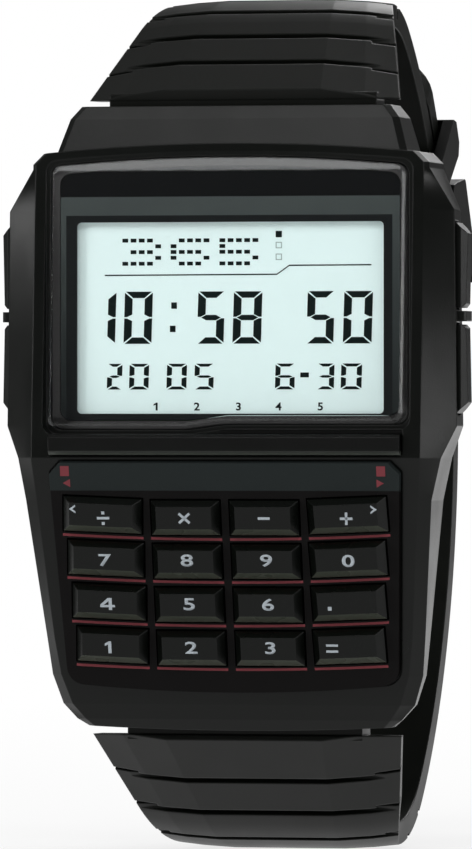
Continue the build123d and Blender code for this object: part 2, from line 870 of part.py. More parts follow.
# Keys, set out in four rows of two inner and two outer columns
key_names = [
    ["key_divide", "key_times", "key_minus", "key_plus"],
    ["key_7", "key_8", "key_9", "key_0"],
    ["key_4", "key_5", "key_6", "key_point"],
    ["key_1", "key_2", "key_3", "key_equals"],
]


row_count = len(key_names)
key_row_pitch = (panel_long - key_first_row - key_last_row) / (row_count - 1)
key_high = key_row_pitch - key_row_gap


def key_place(row, column):
    """Centre, width and turn of one key on the keypad plane."""
    column_count = len(key_names[row])
    side = 1 if column >= column_count / 2 else -1
    outer = column == 0 or column == column_count - 1
    y = -key_first_row - row * key_row_pitch
    if not outer:
        return side * (key_middle_gap + key_inner_wide) / 2, y, key_inner_wide, 0
    wide = key_outer_wide - row * key_outer_taper
    x = key_middle_gap / 2 + key_inner_wide + key_column_gap + wide / 2
    return side * x, y + key_outer_lift, wide, side * key_outer_turn


def key_rectangle(row, column, grow, wide_share=1, high_share=1, lift=0):
    """A key's rectangle, grown or drawn in about its centre."""
    x, y, wide, turn = key_place(row, column)
    shape = Rectangle(wide * wide_share + grow * 2, key_high * high_share + grow * 2)
    return Pos(x, y) * Rot(0, 0, turn) * Pos(0, lift) * shape


keypad_panel = key_prism(panel_face(0), -panel_thick, 0)
for row in range(row_count):
    for column in range(len(key_names[row])):
        window = key_rectangle(row, column, key_window_gap)
        keypad_panel = keypad_panel - key_prism(window, -panel_thick - overrun, overrun)
save(keypad_panel, "keypad_panel")

for row in range(row_count):
    for column, name in enumerate(key_names[row]):
        base = key_rectangle(row, column, 0)
        top = key_rectangle(row, column, 0, key_top_wide_share, key_top_high_share, key_top_shift)
        body = key_prism(base, flange_high, key_foot_high)
        ends = [key_plane.offset(key_foot_high) * base, key_plane.offset(key_proud) * top]
        crown = loft(ends, ruled=True)
        flange = key_prism(key_rectangle(row, column, key_flange), flange_low, flange_high)
        save(body + crown + flange, name)

# Rubber sheet under the keys and the printed contact sheet under it
membrane_face = panel_face(-membrane_margin - fit_gap)
save(key_prism(membrane_face, membrane_low, membrane_high), "key_membrane")
save(key_prism(membrane_face, sheet_low, sheet_low + sheet_thick), "key_contacts")

# Side pushers: ramped bar, stem with a groove, and the clip that keeps it in
for name, (side, near, far) in pushers.items():
    middle = (near + far) / 2
    up = 1 if far > near else -1
    cap_points = [
        (cap_inner_x * side, near),
        ((cap_near_x - pusher_near_ramp) * side, near),
        (cap_near_x * side, near + pusher_near_ramp * up),
        (cap_far_x * side, far - pusher_far_ramp * up),
        ((cap_far_x - pusher_far_ramp) * side, far),
        (cap_inner_x * side, far),
    ]
    cap = front_prism(outline(cap_points), pusher_back_depth, pusher_front_depth)
    bar_points = [
        (cap_inner_x * side, deep(pusher_front_depth)),
        ((cap_far_x - pusher_chamfer) * side, deep(pusher_front_depth)),
        (cap_far_x * side, deep(pusher_front_depth + pusher_chamfer)),
        (cap_far_x * side, deep(pusher_back_depth - pusher_chamfer)),
        ((cap_far_x - pusher_chamfer) * side, deep(pusher_back_depth)),
        (cap_inner_x * side, deep(pusher_back_depth)),
    ]
    low = min(near, far)
    cap = cap & extrude(Plane(origin=(0, 0, low)) * outline(bar_points), amount=abs(far - near))
    stem = rod_x(stem_radius, (clip_outer_x * side, cap_inner_x * side), pusher_depth, middle)
    neck = rod_x(groove_radius, (clip_inner_x * side, clip_outer_x * side), pusher_depth, middle)
    tail = rod_x(stem_radius, (stem_end_x * side, clip_inner_x * side), pusher_depth, middle)
    clip_ends = ((clip_inner_x + clip_gap) * side, (clip_outer_x - clip_gap) * side)
    clip = rod_x(clip_radius, clip_ends, pusher_depth, middle)
    clip = clip - rod_x(groove_radius + clip_gap, clip_ends, pusher_depth, middle)
    save(Compound([cap + stem + neck + tail, clip]), name)

seals = []
for side, near, far in pushers.values():
    middle = (near + far) / 2
    ends = ((ring_seat_x + stack_gap) * side, pocket_floor_x * side)
    ring = rod_x(seal_radius - seal_gap, ends, pusher_depth, middle)
    seals.append(ring - rod_x(stem_radius + seal_gap, ends, pusher_depth, middle))
save(Compound(seals), "pusher_seals")

# Spring bars with stepped tips
bar_names = {1: "spring_bar_12", -1: "spring_bar_6"}
for side, (depth, tongue_half) in strap_ends.items():
    name = bar_names[side]
    body_half = tongue_half + slot_gap - spring_bar_shoulder
    tip_half = tongue_half + slot_gap + spring_bar_tip_long
    z = bar_place * side
    bar = rod_x(spring_bar_radius, both_ways(body_half), depth, z)
    save(bar + rod_x(spring_bar_tip_radius, both_ways(tip_half), depth, z), name)

# The strap's loop runs round the middle of the two spring bars
loop_y = deep((bar_12_depth + bar_6_depth) / 2)


def loop_point(radius, angle):
    """Y and Z of a point on the loop, its angle counted from straight back towards 12 o'clock."""
    return (loop_y + radius * cos(radians(angle)), radius * sin(radians(angle)))


def loop_sector(inner, outer, start, end):
    """A band of the loop between two radii and two angles."""
    middle = (start + end) / 2
    edges = ThreePointArc(loop_point(outer, start), loop_point(outer, middle), loop_point(outer, end))
    edges += Line(loop_point(outer, end), loop_point(inner, end))
    edges += ThreePointArc(loop_point(inner, end), loop_point(inner, middle), loop_point(inner, start))
    edges += Line(loop_point(inner, start), loop_point(outer, start))
    return make_face(edges)


class StrapPath:
    """Outer line of one strap half: straight off the case, a bend, then the loop's arc."""

    def __init__(self, side, edge, edge_depth, rise, bend, bend_half, radius, end_angle):
        self.side = side
        self.bend_half = bend_half
        self.radius = radius
        self.bend = bend
        self.end_angle = end_angle
        self.start = Vector(0, deep(edge_depth), edge * side)
        self.along = Vector(0, cos(radians(rise)), sin(radians(rise)) * side)
        self.inward = Vector(0, sin(radians(rise)), -cos(radians(rise)) * side)
        to_loop = Vector(0, loop_y, 0) - self.start
        across = to_loop.dot(self.inward)
        back = bend - across
        reach = sqrt((radius - bend) ** 2 - back**2)
        self.centre = Vector(0, loop_y, 0) + self.inward * back + self.along * reach
        self.line_long = (self.centre - self.start).dot(self.along)
        self.turn_out = self.start + self.along * self.line_long
        self.peak = self.centre + Vector(0, 0, bend * side)
        outward = (self.centre - Vector(0, loop_y, 0)).normalized()
        self.join = Vector(0, loop_y, 0) + outward * radius
        self.join_angle = degrees(atan2(self.join.Z, self.join.Y - loop_y))

    def bend_point(self, angle):
        """A point on the bend, its angle counted back from the peak towards the case."""
        turn = radians(angle)
        return self.centre + Vector(0, -sin(turn), cos(turn) * self.side) * self.bend

    def at(self, s):
        """Point and inward direction at a distance along the outer line."""
        if s <= self.line_long:
            return self.start + self.along * s, self.inward
        turned = (s - self.line_long) / self.bend
        spread = -self.inward
        ahead = self.along
        outward = spread * cos(turned) + ahead * sin(turned)
        return self.centre + outward * self.bend, -outward

    def half_at(self, s):
        """Half width at a distance along the straight run."""
        return strap_start_half + (self.bend_half - strap_start_half) * min(s / self.line_long, 1)

    def first_bend(self):
        """Arc from the straight run's end to the peak."""
        half_angle = self.along.get_angle(Vector(0, 1, 0)) / 2
        return ThreePointArc(self.turn_out, self.bend_point(half_angle), self.peak)

    def back(self):
        """Edges from the peak along the loop to the end."""
        outward = (self.join - self.centre).normalized()
        middle = (outward + Vector(0, 0, self.side)).normalized()
        bend_arc = ThreePointArc(self.peak, self.centre + middle * self.bend, self.join)
        half = (self.join_angle + self.end_angle) / 2
        loop_arc = ThreePointArc(
            self.join,
            (0, *loop_point(self.radius, half)),
            (0, *loop_point(self.radius, self.end_angle)),
        )
        return bend_arc + loop_arc


def strap_section(origin, along, side, half):
    """Crowned cross-section of the strap, square to its line."""
    plane = Plane(origin=origin, x_dir=(1, 0, 0), z_dir=along)
    scale = (half / strap_start_half) ** crown_power
    side_drop = (crown_mid_drop + crown_side_drop) * scale * side
    mid_drop = crown_mid_drop * scale * side
    right = [(half * crown_flat_share, 0), (half * crown_mid_share, mid_drop), (half, side_drop)]
    left = [(-x, y) for x, y in reversed(right)]
    inner = [(-half, strap_thick * side), (half, strap_thick * side)]
    return plane * outline(right + inner[::-1] + left)


def groove(path, s, wide, deep_in, x_ends):
    """A tapering groove straight across the strap at a distance along its outer line."""
    point, inward = path.at(s)
    along = Vector(1, 0, 0).cross(inward) * -path.side
    top = point - inward * overrun
    foot = point + inward * deep_in
    half = along * wide / 2
    foot_half = half * groove_foot_share
    corners = [top - half, top + half, foot + foot_half, foot - foot_half]
    face = outline([(corner.Y, corner.Z) for corner in corners])
    x_low, x_high = sorted(x_ends)
    long = x_high - x_low
    return extrude(Plane(origin=(x_low, 0, 0), x_dir=(0, 1, 0), z_dir=(1, 0, 0)) * face, amount=long)


def strap_half(path, gap, case_edge, ridge_first, ridge_pitch, grooves):
    """One strap half without its clasp end: tongue, tapering ridged front and narrow back."""
    bar_place_depth, tongue_half = strap_ends[path.side]
    lead = strap_thick * 2
    first = path.start - path.along * lead
    first_section = strap_section(first, path.along, path.side, path.half_at(-lead))
    bend_section = strap_section(path.turn_out, path.along, path.side, path.bend_half)
    peak_section = strap_section(path.peak, Vector(0, 1, 0), path.side, strap_back_half)
    front = loft([first_section, bend_section], ruled=True)
    edge_z = (case_edge + gap) * path.side
    far_z = (path.bend + loop_radius) * path.side
    room = (case_thick + loop_radius, -overrun)
    front = front & block(both_ways(strap_start_half + overrun), room, (edge_z, far_z))
    bend = sweep([bend_section, peak_section], path.first_bend(), multisection=True)
    back = sweep(peak_section, path.back())
    shape = front + bend + back
    slot_middle = (first_slot_long - lead) / 2
    slot_wide = first_slot_long + lead
    shape = shape - groove(path, slot_middle, slot_wide, first_slot_deep, both_ways(strap_start_half))
    for count in range(grooves):
        s = ridge_first + count * ridge_pitch
        shape = shape - groove(path, s, groove_wide, groove_deep, both_ways(strap_start_half))
        near = path.half_at(s) * crown_mid_share + side_groove_gap
        side_deep = crown_mid_drop + crown_side_drop + side_groove_deep
        for side in (1, -1):
            x_ends = (near * side, (strap_start_half + overrun) * side)
            shape = shape - groove(path, s - side_groove_shift, side_groove_wide, side_deep, x_ends)
    bar_z = bar_place * path.side
    tongue_ends = (bar_place_depth - tongue_radius, bar_place_depth + tongue_radius)
    tongue = block(both_ways(tongue_half), tongue_ends, (bar_z, edge_z + gap * path.side))
    tongue = tongue + rod_x(tongue_radius, both_ways(tongue_half), bar_place_depth, bar_z)
    hole_half = tongue_half + overrun
    hole = rod_x(spring_bar_radius + spring_bar_gap, both_ways(hole_half), bar_place_depth, bar_z)
    return shape + tongue - hole


strap_12_path = StrapPath(
    1,
    strap_12_edge,
    strap_12_edge_depth,
    strap_12_rise,
    strap_12_bend,
    strap_12_bend_half,
    loop_radius - strap_thick - layer_gap,
    clasp_angle,
)
strap_6_path = StrapPath(
    -1,
    strap_6_edge,
    strap_6_edge_depth,
    strap_6_rise,
    strap_6_bend,
    strap_6_bend_half,
    loop_radius,
    tail_tip_angle,
)
ridges_12 = (ridge_12_first, ridge_12_pitch, strap_12_groove_count)
ridges_6 = (ridge_6_first, ridge_6_pitch, strap_6_groove_count)
strap_12 = strap_half(strap_12_path, strap_12_gap, hood_top, *ridges_12)
strap_6 = strap_half(strap_6_path, strap_6_gap, -case_foot, *ridges_6)

# The short half's end turns round the clasp's bar, notched in the middle for the prong
under_radius = strap_12_path.radius
clasp_radius = under_radius - strap_thick / 2
clasp_y, clasp_z = loop_point(clasp_radius, clasp_angle)


def clasp_rod(radius, half):
    """A rod along X on the clasp's axis."""
    return rod_x(radius, both_ways(half), clasp_y + case_thick, clasp_z)


strap_12 = strap_12 + clasp_rod(strap_thick / 2, strap_back_half)
notch = clasp_rod(prong_eye_radius + prong_gap, prong_wide / 2 + prong_gap)
bore = clasp_rod(clasp_bar_radius + spring_bar_gap, strap_back_half + overrun)
save(strap_12 - notch - bore, "strap_12")


def loop_plane(angle):
    """Plane on the loop's outer face: its X is the watch's X, its Z points out."""
    y, z = loop_point(loop_radius, angle)
    outward = (0, cos(radians(angle)), sin(radians(angle)))
    return Plane(origin=(0, y, z), x_dir=(1, 0, 0), z_dir=outward)


# The long half's tail has eight-sided holes along it and a rounded tip
for count in range(-holes_before_count, holes_after_count + 1):
    place = loop_plane(hole_worn_angle + count * hole_pitch_angle)
    opening = Rectangle(hole_long, hole_wide)
    opening = chamfer(opening.vertices(), hole_chamfer)
    cutter = extrude(place.offset(-strap_thick * 2) * opening, amount=strap_thick * 4)
    strap_6 = strap_6 - cutter
tip_plane = loop_plane(tail_tip_angle)
for side in (1, -1):
    centre = Pos(side * (strap_back_half - tail_tip_corner), tail_tip_corner)
    corner = centre * RegularPolygon(tail_tip_corner, disc_sides)
    square = Pos(side * (strap_back_half - tail_tip_corner / 2), tail_tip_corner / 2) * Rectangle(
        tail_tip_corner + fit_gap, tail_tip_corner + fit_gap
    )
    cutter = extrude(tip_plane.offset(-strap_thick * 2) * (square - corner), amount=strap_thick * 4)
    strap_6 = strap_6 - cutter
save(strap_6, "strap_6")

# Keeper: a loop round both layers of the strap
keeper_inner = under_radius - strap_thick - keeper_gap
keeper_outer = loop_radius + keeper_gap
keeper_half = strap_back_half + keeper_gap
keeper_angles = (keeper_start_angle, keeper_end_angle)
keeper_face = loop_sector(keeper_inner - keeper_thick, keeper_outer + keeper_thick, *keeper_angles)
outer_corners = keeper_face.vertices().filter_by(
    lambda corner: (corner.X - loop_y) ** 2 + corner.Y**2 > loop_radius**2
)
keeper_face = chamfer(outer_corners, keeper_corner)
void_angles = (keeper_start_angle - keeper_cut_angle, keeper_end_angle + keeper_cut_angle)
keeper_void = loop_sector(keeper_inner, keeper_outer, *void_angles)
keeper = side_prism(keeper_face, keeper_half + keeper_thick) - side_prism(keeper_void, keeper_half)
save(keeper, "keeper")

# Buckle frame: two cheeks hinged on the clasp's bar and the far bar across the tail
bar_inner = loop_radius + frame_bar_gap
frame_angles = (frame_far_angle, frame_far_angle + frame_bar_angle)
far_bar = loop_sector(bar_inner, bar_inner + frame_bar_thick, *frame_angles)
eye = Pos(clasp_y, clasp_z) * RegularPolygon(frame_eye_radius, rod_sides)
shoulder_y, shoulder_z = loop_point(loop_radius, frame_shoulder_angle)
shoulder = Pos(shoulder_y, shoulder_z) * RegularPolygon(frame_shoulder_radius, rod_sides)
cheek = make_hull(far_bar.edges() + shoulder.edges() + eye.edges())
cheek_inner = strap_back_half + frame_gap
cheek_outer = cheek_inner + frame_side
buckle = side_prism(cheek, cheek_outer) - side_prism(cheek, cheek_inner) + side_prism(far_bar, cheek_inner)
tip_long = frame_side * tip_share
buckle = buckle - clasp_rod(clasp_tip_radius + spring_bar_gap, cheek_inner + tip_long + spring_bar_gap)
save(buckle, "buckle_frame")

clasp_bar = clasp_rod(clasp_bar_radius, strap_back_half + frame_gap / 2)
clasp_bar = clasp_bar + clasp_rod(clasp_tip_radius, cheek_inner + tip_long)
save(clasp_bar, "buckle_spring_bar")

# Prong: a ring round the bar and an arm along the inside of the tail
prong_arm = loop_sector(under_radius - prong_thick, under_radius, prong_end_angle, clasp_angle)
prong = side_prism(prong_arm, prong_wide / 2) + clasp_rod(prong_eye_radius, prong_wide / 2)
save(prong - clasp_rod(clasp_bar_radius + spring_bar_gap, prong_wide), "buckle_prong")
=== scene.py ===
import json
import math

import bmesh
import bpy
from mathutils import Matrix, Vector


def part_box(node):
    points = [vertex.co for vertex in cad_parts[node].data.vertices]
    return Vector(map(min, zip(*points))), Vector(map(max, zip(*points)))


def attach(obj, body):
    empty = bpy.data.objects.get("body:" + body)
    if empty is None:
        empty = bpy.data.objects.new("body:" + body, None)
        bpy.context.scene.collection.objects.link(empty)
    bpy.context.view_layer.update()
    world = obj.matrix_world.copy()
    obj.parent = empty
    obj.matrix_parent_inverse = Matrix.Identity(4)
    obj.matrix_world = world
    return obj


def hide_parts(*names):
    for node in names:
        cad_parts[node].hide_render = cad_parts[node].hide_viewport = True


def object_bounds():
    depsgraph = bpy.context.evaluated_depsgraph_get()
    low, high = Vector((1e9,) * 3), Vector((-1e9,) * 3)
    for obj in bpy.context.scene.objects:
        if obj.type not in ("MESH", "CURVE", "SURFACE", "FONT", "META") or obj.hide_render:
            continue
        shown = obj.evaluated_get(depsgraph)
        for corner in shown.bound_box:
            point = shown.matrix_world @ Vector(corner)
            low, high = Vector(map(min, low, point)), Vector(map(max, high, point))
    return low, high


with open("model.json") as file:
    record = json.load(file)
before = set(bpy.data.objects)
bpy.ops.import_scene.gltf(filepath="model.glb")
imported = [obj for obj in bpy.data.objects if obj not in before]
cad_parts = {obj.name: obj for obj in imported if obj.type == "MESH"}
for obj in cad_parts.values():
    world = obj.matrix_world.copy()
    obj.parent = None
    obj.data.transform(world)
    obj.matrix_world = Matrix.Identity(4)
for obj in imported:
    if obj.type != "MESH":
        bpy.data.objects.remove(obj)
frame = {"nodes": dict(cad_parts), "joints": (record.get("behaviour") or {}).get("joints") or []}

cad_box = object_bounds()


# Circuit board: one green laminate sheet, resist-coated on both faces, that carries the display
# above and the keypad's contacts below. It sits on the ledges of the case's room.
mm = 0.001
nodes = frame["nodes"]


class Wire:
    """A node's output. Arithmetic on it adds Math nodes to the same tree."""

    def __init__(self, bench, socket):
        self.bench = bench
        self.socket = socket

    def math(self, operation, first, second):
        return self.bench.add("ShaderNodeMath", {"operation": operation}, {0: first, 1: second})

    def __add__(self, other):
        return self.math("ADD", self, other)

    def __radd__(self, other):
        return self.math("ADD", other, self)

    def __sub__(self, other):
        return self.math("SUBTRACT", self, other)

    def __rsub__(self, other):
        return self.math("SUBTRACT", other, self)

    def __mul__(self, other):
        return self.math("MULTIPLY", self, other)

    def __rmul__(self, other):
        return self.math("MULTIPLY", other, self)

    def __gt__(self, other):
        return self.math("GREATER_THAN", self, other)

    def __lt__(self, other):
        return self.math("LESS_THAN", self, other)


class Bench:
    """A node tree as it is filled. All its nodes but the ending come from add."""

    def __init__(self, tree, ending):
        self.tree = tree
        tree.nodes.clear()
        self.ending = tree.nodes.new(ending)

    def feed(self, socket, value):
        """Links a wire to a socket, or sets a plain value on it."""
        if isinstance(value, Wire):
            self.tree.links.new(value.socket, socket)
        else:
            socket.default_value = value

    def add(self, kind, settings=None, inputs=None, output=0):
        """A node of this kind: its settings first, then the values or links of its sockets."""
        node = self.tree.nodes.new(kind)
        for name, value in (settings or {}).items():
            setattr(node, name, value)
        for name, value in (inputs or {}).items():
            self.feed(node.inputs[name], value)
        return Wire(self, node.outputs[output])

    def rise(self, value, start, end, low=0.0, high=1.0):
        """Goes from low to high as a value goes from start to end."""
        inputs = {"Value": value, "From Min": start, "From Max": end, "To Min": low, "To Max": high}
        return self.add("ShaderNodeMapRange", None, inputs)

    def show(self, surface):
        """Ends the tree in this shader."""
        self.feed(self.ending.inputs["Surface"], surface)


def linear(colour):
    """An everyday colour, written 0 to 255, as the shader's own numbers, by the sRGB curve."""
    knee, slope, offset, power = 0.04045, 12.92, 0.055, 2.4
    shares = [value / 255 for value in colour]
    curved = [s / slope if s <= knee else ((s + offset) / (1 + offset)) ** power for s in shares]
    return curved + [1.0]


def toned(colour, share):
    """A darker or lighter tone of an everyday colour."""
    return [min(value * share, 255) for value in colour]


class Finish(Bench):
    """One material: a shader, what is even all over set on it, and what varies linked to it."""

    def __init__(self, name, colour, rough, **even):
        self.material = bpy.data.materials.new(name)
        self.material.use_nodes = True
        super().__init__(self.material.node_tree, "ShaderNodeOutputMaterial")
        self.skin = self.add("ShaderNodeBsdfPrincipled")
        self.show(self.skin)
        self.set("Base Color", linear(colour))
        self.set("Roughness", rough)
        for socket, value in even.items():
            self.set(socket.replace("_", " "), value)

    def set(self, socket, value):
        """Feeds one socket of the shader."""
        self.feed(self.skin.socket.node.inputs[socket], value)

    def place(self):
        """The point on the piece, in metres."""
        return self.add("ShaderNodeTexCoord", output="Object")

    def axis(self, letter):
        """One coordinate of the point on the piece, in metres."""
        return self.add("ShaderNodeSeparateXYZ", None, {0: self.place()}, letter)

    def noise(self, size, detail=2.0, stretch=(1, 1, 1)):
        """Cloudy variation from 0 to 1, with patches of this size."""
        stretched = {0: self.place(), 1: stretch}
        point = self.add("ShaderNodeVectorMath", {"operation": "MULTIPLY"}, stretched)
        inputs = {"Vector": point, "Scale": 1 / size, "Detail": detail}
        return self.add("ShaderNodeTexNoise", None, inputs)

    def blend(self, share, first, second):
        """One colour over another by a share. Each is a wire or an everyday colour."""
        first, second = [
            shade if isinstance(shade, Wire) else linear(shade) for shade in (first, second)
        ]
        inputs = {"Factor": share, 6: first, 7: second}
        return self.add("ShaderNodeMix", {"data_type": "RGBA"}, inputs, 2)

    def relief(self, height, depth, under=None):
        """Small bumps from a height between 0 and 1."""
        inputs = {"Height": height, "Distance": depth, "Strength": 1.0}
        if under is not None:
            inputs["Normal"] = under
        return self.add("ShaderNodeBump", None, inputs)

    def softened(self, radius):
        """Edges seen as rounded by this radius."""
        rays = 6
        return self.add("ShaderNodeBevel", {"samples": rays}, {"Radius": radius})


def wear(name, finish):
    """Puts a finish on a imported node."""
    data = nodes[name].data
    data.materials.clear()
    data.materials.append(finish.material)


def laminate(name):
    """Green resist over copper tracks on glass-fibre sheet."""
    dark_green, light_green, track_green = (14, 62, 36), (26, 92, 54), (60, 128, 66)
    track_pitch, track_share, track_rise, row_shift = 2.2 * mm, 0.06, 0.03 * mm, 0.5
    finish = Finish(name, colour=(18, 74, 44), rough=0.35)
    inputs = {
        "Vector": finish.place(),
        "Scale": 1 / track_pitch,
        "Mortar Size": track_share,
        "Mortar": (0, 0, 0, 1),
    }
    tracks = finish.add("ShaderNodeTexBrick", {"offset": row_shift}, inputs, "Fac")
    green = finish.blend(finish.noise(size=1.5 * mm), dark_green, light_green)
    finish.set("Base Color", finish.blend(tracks, green, track_green))
    finish.set("Normal", finish.relief(tracks, track_rise))
    return finish


wear("circuit_board", laminate("green laminate"))


# Chip and oscillator: the processor is a die under a black epoxy drop, the oscillator a small
# drawn steel can. Both are soldered to the back of the board.
def potting(name):
    """Black epoxy with a faintly rippled skin."""
    shiny, uneven = 0.3, 0.25
    finish = Finish(name, colour=(24, 24, 26), rough=0.4)
    ripple = finish.noise(size=0.6 * mm)
    finish.set("Roughness", shiny + uneven * ripple)
    finish.set("Normal", finish.relief(ripple, depth=0.03 * mm))
    return finish


def brushed(name, colour, rough, along=(1, 1, 1), fine=0.05 * mm):
    """Metal with fine rubbed lines along one direction."""
    cloud_tone, line_tone, line_cover = 0.86, 0.7, 0.35
    shiny, uneven = rough - 0.08, 0.2
    finish = Finish(name, colour, rough, Metallic=1.0)
    lines = finish.noise(fine, detail=3.0, stretch=along)
    shade = finish.blend(finish.noise(size=3 * mm), colour, toned(colour, cloud_tone))
    shade = finish.blend(line_cover * lines, shade, toned(colour, line_tone))
    finish.set("Base Color", shade)
    finish.set("Roughness", shiny + uneven * lines)
    finish.set("Normal", finish.relief(lines, depth=0.004 * mm))
    return finish


wear("processor_chip", potting("chip epoxy"))
wear("quartz_oscillator", brushed("quartz can", (190, 188, 180), rough=0.3, along=(0.1, 1, 1)))


# Module housing and display frame: moulded plastic carriers that clip over the board, one
# behind for the battery, one in front for the display.
def moulded(
    name, colour, rough, grain=0.12 * mm, depth=0.006 * mm, vary=0.14, round_off=0.0, shine=0.5
):
    """Moulded plastic or resin with a fine spark-eroded grain and slightly uneven tone."""
    cloud_share, speck_share = 0.6, 0.4
    shiny, uneven = rough - 0.06, 0.12
    finish = Finish(name, colour, rough, Specular_IOR_Level=shine)
    speck = finish.noise(grain, detail=3.0)
    cloud = finish.noise(size=4 * mm)
    tone = cloud_share * cloud + speck_share * speck
    shade = finish.blend(tone, toned(colour, 1 - vary), toned(colour, 1 + vary))
    finish.set("Base Color", shade)
    finish.set("Roughness", shiny + uneven * cloud)
    under = finish.softened(round_off) if round_off else None
    finish.set("Normal", finish.relief(speck, depth, under))
    return finish


wear("module_housing", moulded("housing plastic", (186, 184, 174), rough=0.45))
wear("display_frame", moulded("frame plastic", (44, 44, 46), rough=0.45))


# LCD connectors: strips of elastomer with carbon layers, squeezed between the display's glass
# and the board.
def layered_rubber(name):
    """Grey elastomer with fine black carbon layers across it."""
    grey, carbon = (178, 178, 172), (40, 40, 42)
    layer_pitch, layer_share = 1.2 * mm, 0.5
    finish = Finish(name, grey, rough=0.55)
    inputs = {"Vector": finish.place(), "Scale": 1 / layer_pitch, "Distortion": 0.0}
    stripe = finish.add("ShaderNodeTexWave", {"bands_direction": "X"}, inputs) > layer_share
    finish.set("Base Color", finish.blend(stripe, grey, carbon))
    finish.set("Normal", finish.relief(stripe, depth=0.01 * mm))
    return finish


wear("lcd_connectors", layered_rubber("layered elastomer"))


# Backlight: a thin luminous film, pale green when dark. It lies flat behind the display cell and
# shines through it.
def film(name, colour):
    """Smooth film with faint mottling."""
    shiny, uneven, cloud_tone = 0.4, 0.08, 0.94
    finish = Finish(name, colour, shiny)
    cloud = finish.noise(size=2 * mm)
    finish.set("Base Color", finish.blend(cloud, colour, toned(colour, cloud_tone)))
    finish.set("Roughness", shiny + uneven * cloud)
    return finish


wear("backlight_panel", film("luminous film", (196, 214, 202)))


# LCD cell: two glass plates with liquid crystal between, seen against a grey-green reflector.
# Its marks are dark segments in the front plate. The sizes of the marks are in millimetres.
def lcd_glass(name):
    """Grey-green reflective display glass, a little mottled by its rough reflector."""
    darker, lighter = (229, 251, 249), (235, 255, 254)
    shiny, uneven = 0.45, 0.1
    finish = Finish(name, colour=(232, 254, 252), rough=0.5, Specular_IOR_Level=0.2)
    speck = finish.noise(size=0.08 * mm)
    tone = 0.5 * speck + 0.5 * finish.noise(size=6 * mm)
    finish.set("Base Color", finish.blend(tone, darker, lighter))
    finish.set("Roughness", shiny + uneven * speck)
    return finish


def ink(name, colour, shine):
    """Flat dark or coloured print with faint unevenness."""
    shiny, uneven, speck_tone = 0.6, 0.1, 0.92
    finish = Finish(name, colour, shiny, Specular_IOR_Level=shine)
    speck = finish.noise(size=0.1 * mm)
    finish.set("Base Color", finish.blend(speck, toned(colour, speck_tone), colour))
    finish.set("Roughness", shiny + uneven * speck)
    return finish


def wall(shape, first, second):
    """Adds the faces between two loops with as many corners."""
    faces = []
    for i in range(len(first)):
        j = (i + 1) % len(first)
        faces.append(shape.faces.new((first[i], first[j], second[j], second[i])))
    return faces


def layer(shape, top_points, under_points):
    """Adds a thin closed layer between two outlines with as many corners."""
    top = [shape.verts.new(point) for point in top_points]
    under = [shape.verts.new(point) for point in under_points]
    faces = [shape.faces.new(top), shape.faces.new(under[::-1])] + wall(shape, under, top)
    bmesh.ops.recalc_face_normals(shape, faces=faces)


def new_piece(name, shape, finish, body):
    """Turns finished mesh work into a piece that rides on a body."""
    data = bpy.data.meshes.new(name)
    shape.to_mesh(data)
    shape.free()
    piece = bpy.data.objects.new(name, data)
    bpy.context.scene.collection.objects.link(piece)
    data.materials.append(finish.material)
    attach(piece, body)
    return piece


wear("lcd_cell", lcd_glass("display glass"))
glass_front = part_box("lcd_cell")[0].y
mark_thick = 0.02 * mm


def on_glass(x, z, lift=0.0):
    """A point of the display's marks, in metres, from millimetres across and up."""
    return Vector((x * mm, glass_front - lift, z * mm))


def plate(shape, points):
    """Adds a flat mark with this outline on the display's glass."""
    front = [on_glass(x, z, mark_thick) for x, z in points]
    layer(shape, front, [on_glass(x, z) for x, z in points])


def bar(left, right, low, high):
    """Outline of an upright rectangle."""
    return [(left, low), (right, low), (right, high), (left, high)]


digit_segments = {
    "0": "abcdef", "1": "bc", "2": "abged", "3": "abgcd", "5": "afgcd", "6": "afgedc",
    "8": "abcdefg",
}
segment_gap = 0.045
segment_lean = 0.031


def segment_digit(shape, text, left, right, low, high, wide, deep):
    """One seven-bar numeral, leaning a little.

    Its upright bars are wide, its level bars deep, and thin diagonal gaps part them."""
    end_gap, side_gap = segment_gap * 2, segment_gap * 1.3
    half, tip, corner = deep * 0.42, wide * 0.45, wide * 0.35
    middle = (low + high) / 2
    near, far = left + wide + segment_gap, right - wide - segment_gap
    inner = left + wide
    outlines = {
        "a": [(left + end_gap, high), (right - end_gap, high), (far, high - deep),
              (near, high - deep)],
        "d": [(left + end_gap, low), (near, low + deep), (far, low + deep),
              (right - end_gap, low)],
        "g": [(left + tip, middle), (near, middle + half), (far, middle + half),
              (right - tip, middle), (far, middle - half), (near, middle - half)],
        "f": [(left, high - end_gap), (inner, high - deep - end_gap),
              (inner, middle + half + segment_gap), (left + corner, middle + side_gap),
              (left, middle + side_gap)],
        "e": [(left, low + end_gap), (left, middle - side_gap), (left + corner, middle - side_gap),
              (inner, middle - half - segment_gap), (inner, low + deep + end_gap)],
    }
    outlines["b"] = [(left + right - x, z) for x, z in outlines["f"]]
    outlines["c"] = [(left + right - x, z) for x, z in outlines["e"]]
    for segment in digit_segments[text]:
        plate(shape, [(x + (z - middle) * segment_lean, z) for x, z in outlines[segment]])


